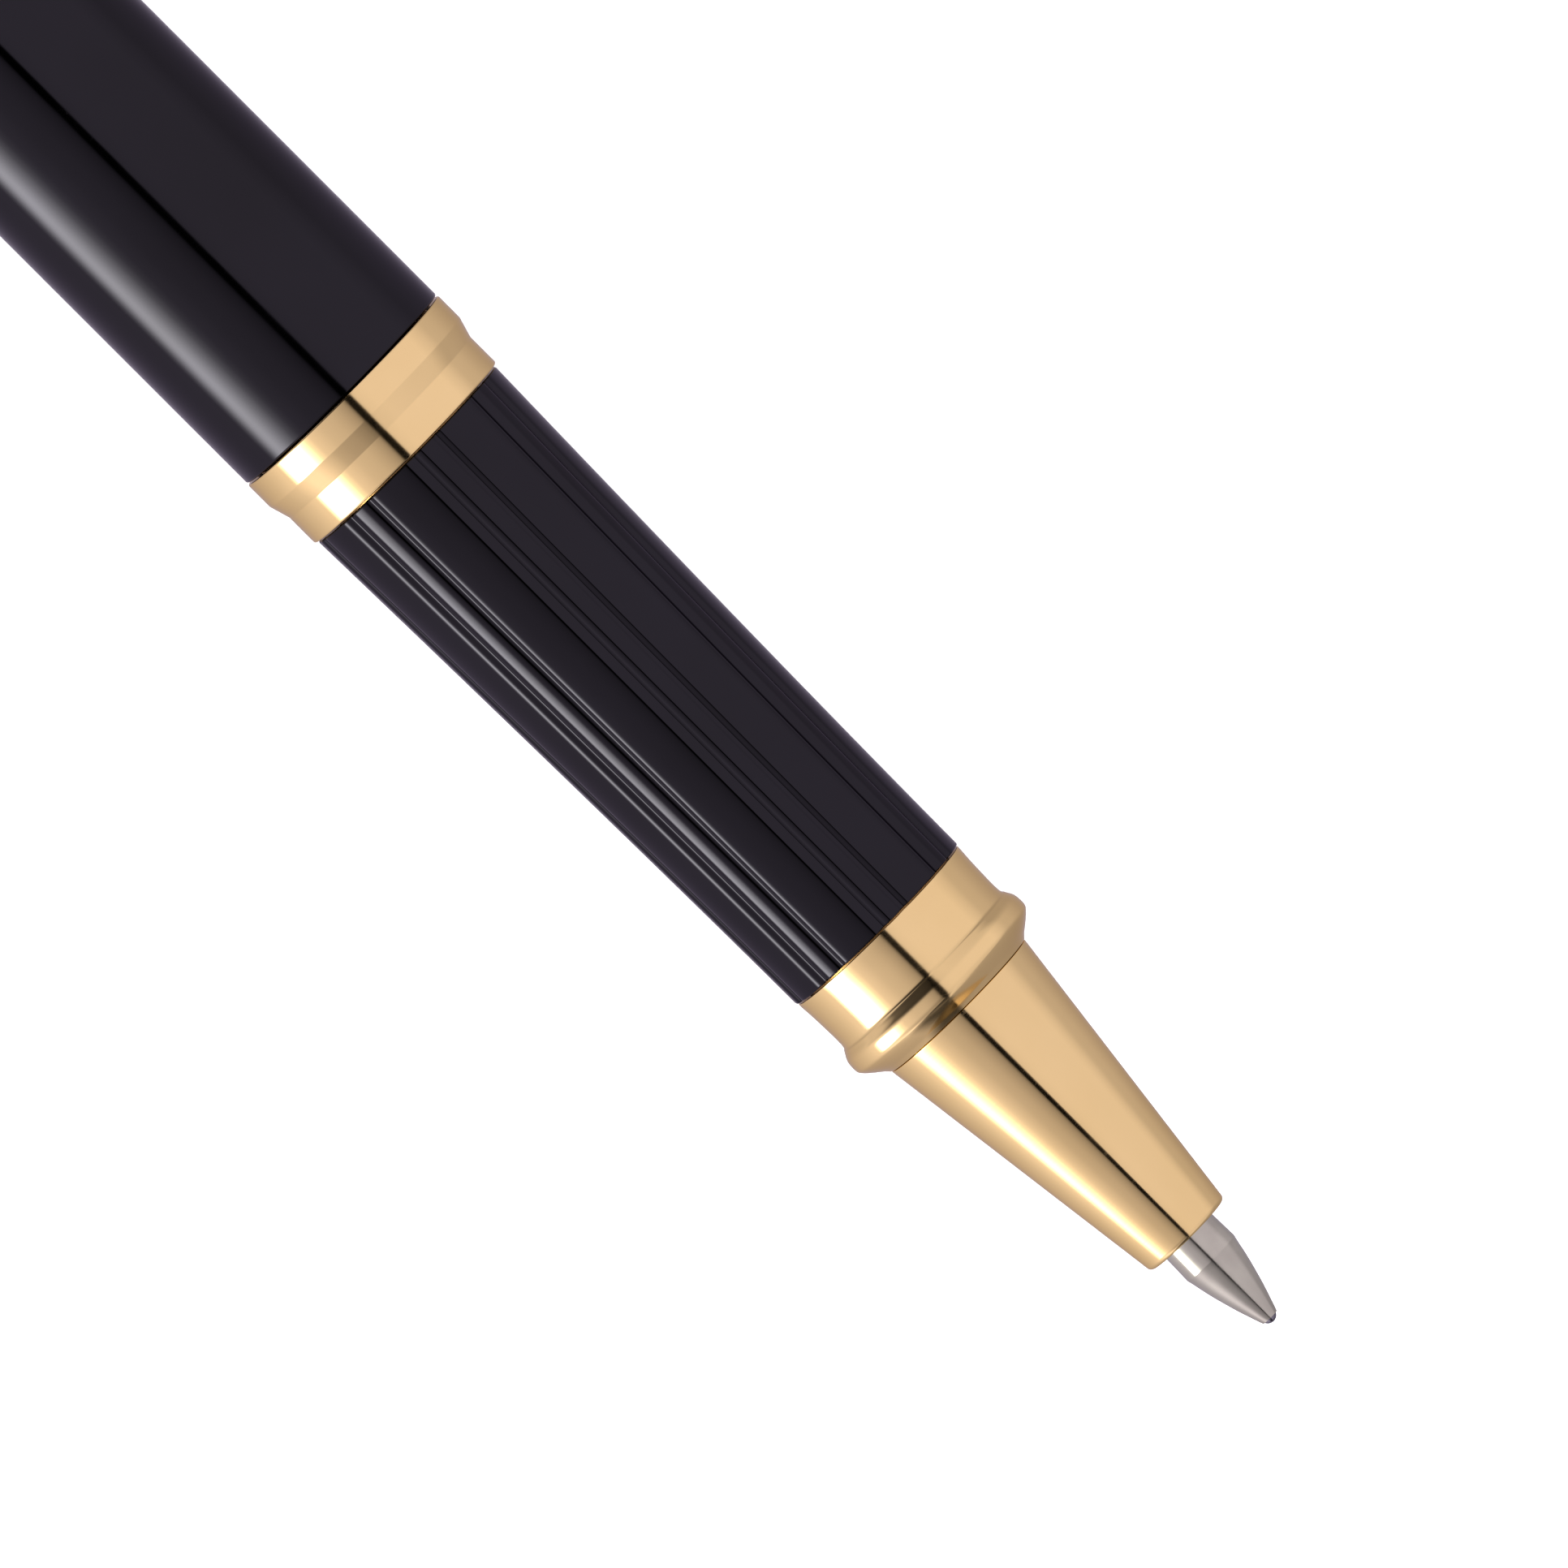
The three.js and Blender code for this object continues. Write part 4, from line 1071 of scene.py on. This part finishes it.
def make_cap_liner():
    """The liner: a bore, the soft ridge that grips, and a closed end; six ribs centre the pen in it."""
    rear, front = ends("cap_liner")
    radius = rim("cap_liner")
    ridge = front - 25.45 * MM
    deep = CAP_BORE - 0.2 * MM
    corners = [
        (rear, 0, 0),
        (rear, radius, 0.3),
        (front, radius, 0.05),
        (front, CAP_BORE, 0.05),
        (ridge + 1.2 * MM, CAP_BORE, 0.5),
        (ridge + 0.4 * MM, 4.68 * MM, 0.4),
        (ridge - 0.4 * MM, 4.68 * MM, 0.4),
        (ridge - 1.2 * MM, deep, 0.5),
        (rear + 0.9 * MM, deep, 0.3),
        (rear + 0.6 * MM, deep - 0.3 * MM, 0.2),
        (rear + 0.6 * MM, 0, 0),
    ]
    lathe("cap_liner", "cap", PLASTIC, corners, ROUND_INNER)
    rib_length = 20 * MM
    values = {
        "Count": 6,
        "Radius": CAP_BORE,
        "Size": (0.1 * MM, 0.5 * MM, rib_length),
        "Middle": (front - 1.5 * MM - rib_length / 2, 0.0, AXIS_Z),
        "Material": PLASTIC,
    }
    place(by_rule(empty_piece("liner_ribs"), RIBS, values), "cap")


def make_cap_plug():
    rear, front = ends("cap_plug")
    radius = rim("cap_plug")
    plug = sleeve(rear, front, STUD_HOLE, radius, 0.08, 0.15)
    lathe("cap_plug", "cap", BRASS, plug, ROUND_INNER)


def make_clip_ring():
    rear, front = ends("clip_ring")
    radius = rim("clip_ring")
    lathe("clip_ring", "cap", GOLD, sleeve(rear, front, STUD_HOLE + 0.04 * MM, radius, 0.05, EDGE))


def make_crown():
    """The crown: a waist line, a rounded edge and the recess of its inlay."""
    rear, front = ends("crown")
    radius = rim("crown")
    seat = rim("crown_disc") + 0.04 * MM
    groove = front - 0.8 * MM
    corners = [
        (rear + 0.6 * MM, 0, 0),
        (rear + 0.6 * MM, seat, 0.03),
        (rear, seat, 0.05),
        (rear, radius - 1.1 * MM, 0.3),
        (rear + 0.5 * MM, radius - 0.35 * MM, 0.8),
        (rear + 1.5 * MM, radius, 1.2),
        (groove - 0.16 * MM, radius, 0.05),
        (groove, radius - 0.12 * MM, 0.04),
        (groove + 0.16 * MM, radius, 0.05),
        (front, radius, EDGE),
        (front, STUD_HOLE, 0.05),
        (front - 2.3 * MM, STUD_HOLE, 0.05),
        (front - 2.3 * MM, 0, 0),
    ]
    lathe("crown", "cap", GOLD, corners)


def make_crown_disc():
    rear, front = ends("crown_disc")
    radius = rim("crown_disc")
    lathe("crown_disc", "cap", LACQUER, rod(rear, front, radius, 0.1, 0.05))


def make_crown_stud():
    rear, front = ends("crown_stud")
    radius = rim("crown_stud", REFILL_SIDES)
    lathe("crown_stud", "cap", TIP_STEEL, rod(rear, front, radius, 0.2, 0.2), ROUND_SMALL)


# ---------------------------------------------------------------------- clip

CLIP_ROOT_WIDTH = 3.6 * MM
CLIP_TIP_WIDTH = 2.3 * MM
CLIP_THICKNESS = 0.85 * MM
CLIP_LIFT = 1.3 * MM  # between the cap and the arm
CLIP_BEND = 0.75 * MM  # radius of the bend at the root
CLIP_FOOT = 1.15 * MM  # radius of the round foot
CLIP_FOOT_GAP = 0.08 * MM
CAP_TOP = AXIS_Z + rim("cap_tube")


def clip_section(half_width, half_height):
    """A flat bar's section with round edges and a crowned top: (across, up) pairs."""
    points = []
    steps = 40
    for i in range(steps):
        angle = 2 * math.pi * i / steps
        c, s = math.cos(angle), math.sin(angle)
        across = half_width * math.copysign(abs(c) ** 0.45, c)
        up = half_height * math.copysign(abs(s) ** 0.55, s)
        if s > 0:
            up *= 1 - 0.22 * (across / half_width) ** 2
        points.append((across, up))
    return points


def clip_middle_line(rear, bottom, foot_x):
    """The arm's middle line, up from the ring and round a bend: x, z and the turn from upright to level."""
    root_x = rear + 0.45 * MM
    arm_z = CAP_TOP + CLIP_LIFT + CLIP_THICKNESS / 2
    line = [(root_x, bottom, 0.0), (root_x, arm_z - CLIP_BEND, 0.0)]
    bend_steps = 12
    for i in range(1, bend_steps + 1):
        angle = math.pi / 2 * i / bend_steps
        x = root_x + CLIP_BEND * (1 - math.cos(angle))
        z = arm_z - CLIP_BEND + CLIP_BEND * math.sin(angle)
        line.append((x, z, angle))
    arm_start = root_x + CLIP_BEND
    arm_rows = 40
    for i in range(1, arm_rows + 1):
        share = i / arm_rows
        line.append((arm_start + share * (foot_x - arm_start), arm_z, math.pi / 2))
    return line


def clip_arm(line, taper_start, foot_x):
    """The bar's section swept along the middle line, narrowing to the foot."""
    vertices, rings = [], []
    for x, z, angle in line:
        share = min(max((x - taper_start) / (foot_x - taper_start), 0), 1)
        half_width = (CLIP_ROOT_WIDTH + (CLIP_TIP_WIDTH - CLIP_ROOT_WIDTH) * share) / 2
        ring = []
        for across, up in clip_section(half_width, CLIP_THICKNESS / 2):
            ring.append(len(vertices))
            vertices.append((x - up * math.cos(angle), across, z + up * math.sin(angle)))
        rings.append(ring)
    faces = []
    for ring, after in zip(rings, rings[1:]):
        for i in range(len(ring)):
            j = (i + 1) % len(ring)
            faces.append([ring[i], ring[j], after[j], after[i]])
    faces.append(rings[0][::-1])
    faces.append(rings[-1])
    return vertices, faces


def add_clip_foot(vertices, faces, x, z):
    """The round foot at the arm's end, built on the arm's own vertices and faces."""
    first = len(vertices)
    columns, rows = 48, 24
    vertices.append((x, 0.0, z - CLIP_FOOT))
    for row in range(1, rows):
        angle = math.pi * row / rows
        out = CLIP_FOOT * math.sin(angle)
        up = z - CLIP_FOOT * math.cos(angle)
        for column in range(columns):
            turn = 2 * math.pi * column / columns
            vertices.append((x + out * math.cos(turn), out * math.sin(turn), up))
    last = len(vertices)
    vertices.append((x, 0.0, z + CLIP_FOOT))
    top = last - columns
    for column in range(columns):
        after = (column + 1) % columns
        faces.append([first, first + 1 + after, first + 1 + column])
        faces.append([top + column, top + after, last])
        for row in range(rows - 2):
            start = first + 1 + row * columns
            below = [start + column, start + after]
            faces.append([*below, start + columns + after, start + columns + column])


def make_clip():
    """A spring arm from the clip ring to its round foot, which bends at its root."""
    low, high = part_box("clip")
    foot_x = high.x - CLIP_FOOT
    line = clip_middle_line(low.x, low.z, foot_x)
    vertices, faces = clip_arm(line, low.x + 5 * MM, foot_x)
    add_clip_foot(vertices, faces, foot_x, CAP_TOP + CLIP_FOOT_GAP + CLIP_FOOT)
    piece = mesh_piece("clip", vertices, faces, GOLD)
    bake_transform(piece)
    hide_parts("clip")


# --------------------------------------------------------------------- studio

FRAME_WIDTH = 62.32 * MM  # how much the view takes in at the pen's axis
LENS = 900.0
SENSOR = 36.0
AHEAD_OF_JOINT = 23.51 * MM  # the middle of the view
BESIDE_AXIS = 1.33 * MM
CAMERA_LEAN = math.radians(3.5)  # off straight down, towards the pen's tail
FLOOR_GAP = 0.06 * MM
BEAD_REST = 0.97 * MM  # from the collar's front back to where the bead touches the table


def make_camera():
    """Far above the section, turned so that the pen runs across the view to its tip at the lower right."""
    data = bpy.data.cameras.new("camera")
    data.lens = LENS
    data.sensor_width = SENSOR
    data.clip_start = 0.01
    data.clip_end = 20
    camera = bpy.data.objects.new("camera", data)
    middle = Vector((JOINT + AHEAD_OF_JOINT, BESIDE_AXIS, AXIS_Z))
    turn = Matrix.Rotation(-CAMERA_LEAN, 3, "Y") @ Matrix.Rotation(math.radians(45), 3, "Z")
    distance = FRAME_WIDTH / SENSOR * LENS
    camera.location = middle + turn @ Vector((0, 0, distance))
    camera.rotation_euler = turn.to_euler()
    bpy.context.scene.collection.objects.link(camera)
    bpy.context.scene.camera = camera


def make_floor():
    """A plain white table under the cap's lip and the nose's bead, which the pen lies on.

    Reflections pass through it to the studio's own lower half.
    """
    lip_x = ends("cap_lip_ring")[1]
    bead_x = ends("nose_collar")[1] - BEAD_REST
    slope = (rim("cap_lip_ring") - rim("nose_collar")) / (bead_x - lip_x)
    size = 3.0
    corners = []
    for x, y in ((-size, -size), (size, -size), (size, size), (-size, size)):
        corners.append((x, y, (x - lip_x) * slope - FLOOR_GAP))
    finish = Finish("table")
    haze = finish.shared(SURFACE_HAZE, Patches_per_metre=3.0)
    finish.colour((0.86, 0.86, 0.86), (0.88, 0.88, 0.88), haze)
    finish.roughness(0.9)
    floor = mesh_piece("floor", corners, [[0, 1, 2, 3]], finish.material)
    floor.visible_glossy = False


# How bright the studio is round the pen's axis: degrees from straight up towards -Y, and the level there.
# The first list is for light that comes square to the pen, the second for light from far along it.
SQUARE_ON = [
    (-180, 0.42), (-144, 0.44), (-128, 0.50), (-112, 0.58), (-98, 0.61), (-88, 0.74),
    (-76, 0.85), (-14, 0.85), (-5, 0.81), (-2.5, 0.76), (-1.4, 0.004), (4.6, 0.004),
    (5.8, 0.26), (8, 0.38), (12, 0.46), (17, 0.54), (24, 0.62), (36, 0.69),
    (48, 0.86), (60, 0.95), (84, 1.00), (100, 0.92), (108, 0.82), (120, 0.71),
    (134, 0.62), (156, 0.50), (180, 0.42),
]
FROM_THE_ENDS = [
    (-180, 0.34), (-104, 0.44), (-84, 0.70), (-20, 0.80), (-5, 0.76), (-2.5, 0.70),
    (-1.4, 0.004), (4.6, 0.004), (6.5, 0.20), (12, 0.29), (24, 0.40), (36, 0.45),
    (48, 0.54), (60, 0.80), (76, 1.25), (88, 1.30), (98, 1.05), (108, 0.80),
    (124, 0.62), (180, 0.34),
]
BRIGHT_STRIP = [
    (-180, 0), (50, 0), (56, 0.35), (62, 1.6), (69, 4.6), (76, 8.6),
    (81, 11.0), (85, 9.6), (89, 4.9), (92.5, 1.4), (96, 0), (180, 0),
]
# Where a dark wall stands beyond each end of the pen, round the axis as above: 0 is the wall, 1 is none.
BEHIND = [
    (-180, 1.0), (-6, 1.0), (4, 0.0), (70, 0.0), (115, 1.0), (180, 1.0),
]
AHEAD = [
    (-180, 0.3), (-165, 1.0), (-10, 1.0), (0, 0.0), (165, 0.0), (180, 0.3),
]
AHEAD_FADE = (0.86, 0.97)
BEHIND_FADE = (0.30, 0.62)
END_WALL = 0.12  # what the walls still give
TABLE_LIGHT = 2.8  # what falls on matt surfaces
PANEL_TINT = (1.0, 0.885, 1.11, 1.0)  # a little violet beside the white strip
PANEL_FADE = (0.1, 0.6)  # how far along the pen directions lean where the ends' light takes over
STRIP_FADE = (0.1, 0.33)


def level_round_axis(tree, share, stops):
    """One list of levels as a smooth ramp over the whole turn."""
    brightest = max(level for _, level in stops)
    ramp = tree.add("ShaderNodeValToRGB", {"Fac": share})
    elements = ramp.color_ramp.elements
    while len(elements) < len(stops):
        elements.new(0.5)
    for element, (degrees, level) in zip(elements, stops):
        element.position = degrees / 360 + 0.5
        element.color = (level / brightest, level / brightest, level / brightest, 1)
    return tree.math("MULTIPLY", ramp.outputs["Color"], brightest)


def fade_lengthwise(tree, slant, start, stop):
    """1 near square-on directions, falling to 0 for those that slant more along the pen."""
    fade = tree.add("ShaderNodeMapRange", {"Value": slant, "From Min": start, "From Max": stop})
    fade.inputs["To Min"].default_value = 1
    fade.inputs["To Max"].default_value = 0
    fade.interpolation_type = "SMOOTHSTEP"
    return fade.outputs[0]


def end_wall(tree, share, along, walls, start, stop):
    """What a dark wall beyond one end leaves of the light, for directions that lean towards that end."""
    fade = fade_lengthwise(tree, along, start, stop)
    return tree.math("MAXIMUM", fade, level_round_axis(tree, share, walls))


def make_studio():
    """Soft light that runs along the pen: a broad panel on one side, a bright strip low on the other."""
    world = bpy.data.worlds.new("studio")
    world.use_nodes = True
    bpy.context.scene.world = world
    world.node_tree.nodes.clear()
    tree = Tree(world.node_tree)
    direction = tree.add("ShaderNodeTexCoord").outputs["Generated"]
    toward = tree.add("ShaderNodeSeparateXYZ", {"Vector": direction})
    left = tree.math("MULTIPLY", toward.outputs["Y"], -1.0)
    angle = tree.math("ARCTAN2", left, toward.outputs["Z"])
    share = tree.math("MULTIPLY_ADD", angle, 0.5 / math.pi, 0.5)
    slant = tree.math("ABSOLUTE", toward.outputs["X"])
    square_on = level_round_axis(tree, share, SQUARE_ON)
    from_ends = level_round_axis(tree, share, FROM_THE_ENDS)
    panels = tree.add("ShaderNodeMix", {"A": from_ends, "B": square_on})
    tree.feed(panels.inputs["Factor"], fade_lengthwise(tree, slant, *PANEL_FADE))
    strip_level = level_round_axis(tree, share, BRIGHT_STRIP)
    strip = tree.math("MULTIPLY", strip_level, fade_lengthwise(tree, slant, *STRIP_FADE))
    ahead = end_wall(tree, share, toward.outputs["X"], AHEAD, *AHEAD_FADE)
    to_tail = tree.math("MULTIPLY", toward.outputs["X"], -1.0)
    behind = end_wall(tree, share, to_tail, BEHIND, *BEHIND_FADE)
    ends_level = tree.math("MULTIPLY_ADD", tree.math("MULTIPLY", ahead, behind), 1 - END_WALL, END_WALL)
    level = tree.math("MULTIPLY_ADD", panels.outputs["Result"], ends_level, strip)
    rays = tree.add("ShaderNodeLightPath").outputs
    soft = tree.add("ShaderNodeMix", {"Factor": rays["Is Diffuse Ray"], "A": level, "B": TABLE_LIGHT})
    plain = tree.add("ShaderNodeMix", {"Factor": rays["Is Camera Ray"], "B": 1.0})
    tree.feed(plain.inputs["A"], soft.outputs["Result"])
    seen_plain = tree.math("MAXIMUM", rays["Is Diffuse Ray"], rays["Is Camera Ray"])
    whiteness = tree.math("MAXIMUM", seen_plain, tree.math("DIVIDE", strip, level))
    colour = tree.add("ShaderNodeMix", data_type="RGBA")
    tree.feed(colour.inputs["Factor"], whiteness)
    tree.feed(colour.inputs["A"], PANEL_TINT)
    tree.feed(colour.inputs["B"], (1.0, 1.0, 1.0, 1.0))
    background = tree.add("ShaderNodeBackground", {"Color": colour.outputs["Result"]})
    tree.feed(background.inputs["Strength"], plain.outputs["Result"])
    tree.add("ShaderNodeOutputWorld", {"Surface": background.outputs[0]})
    bpy.context.scene.view_settings.view_transform = "Standard"


make_camera()
make_floor()
make_studio()
make_joint_ring()
make_section_grip()
make_nose_collar()
make_nose_cone()
make_section_core()
make_refill_tip()
make_refill_ball()
make_refill_nose()
make_refill_body()
make_barrel_tube()
make_thread_bush()
make_spring()
make_spring_seat()
make_tail_plug()
make_cap_tube()
make_lip_ring()
make_cap_liner()
make_cap_plug()
make_clip_ring()
make_crown()
make_crown_disc()
make_crown_stud()
make_clip()
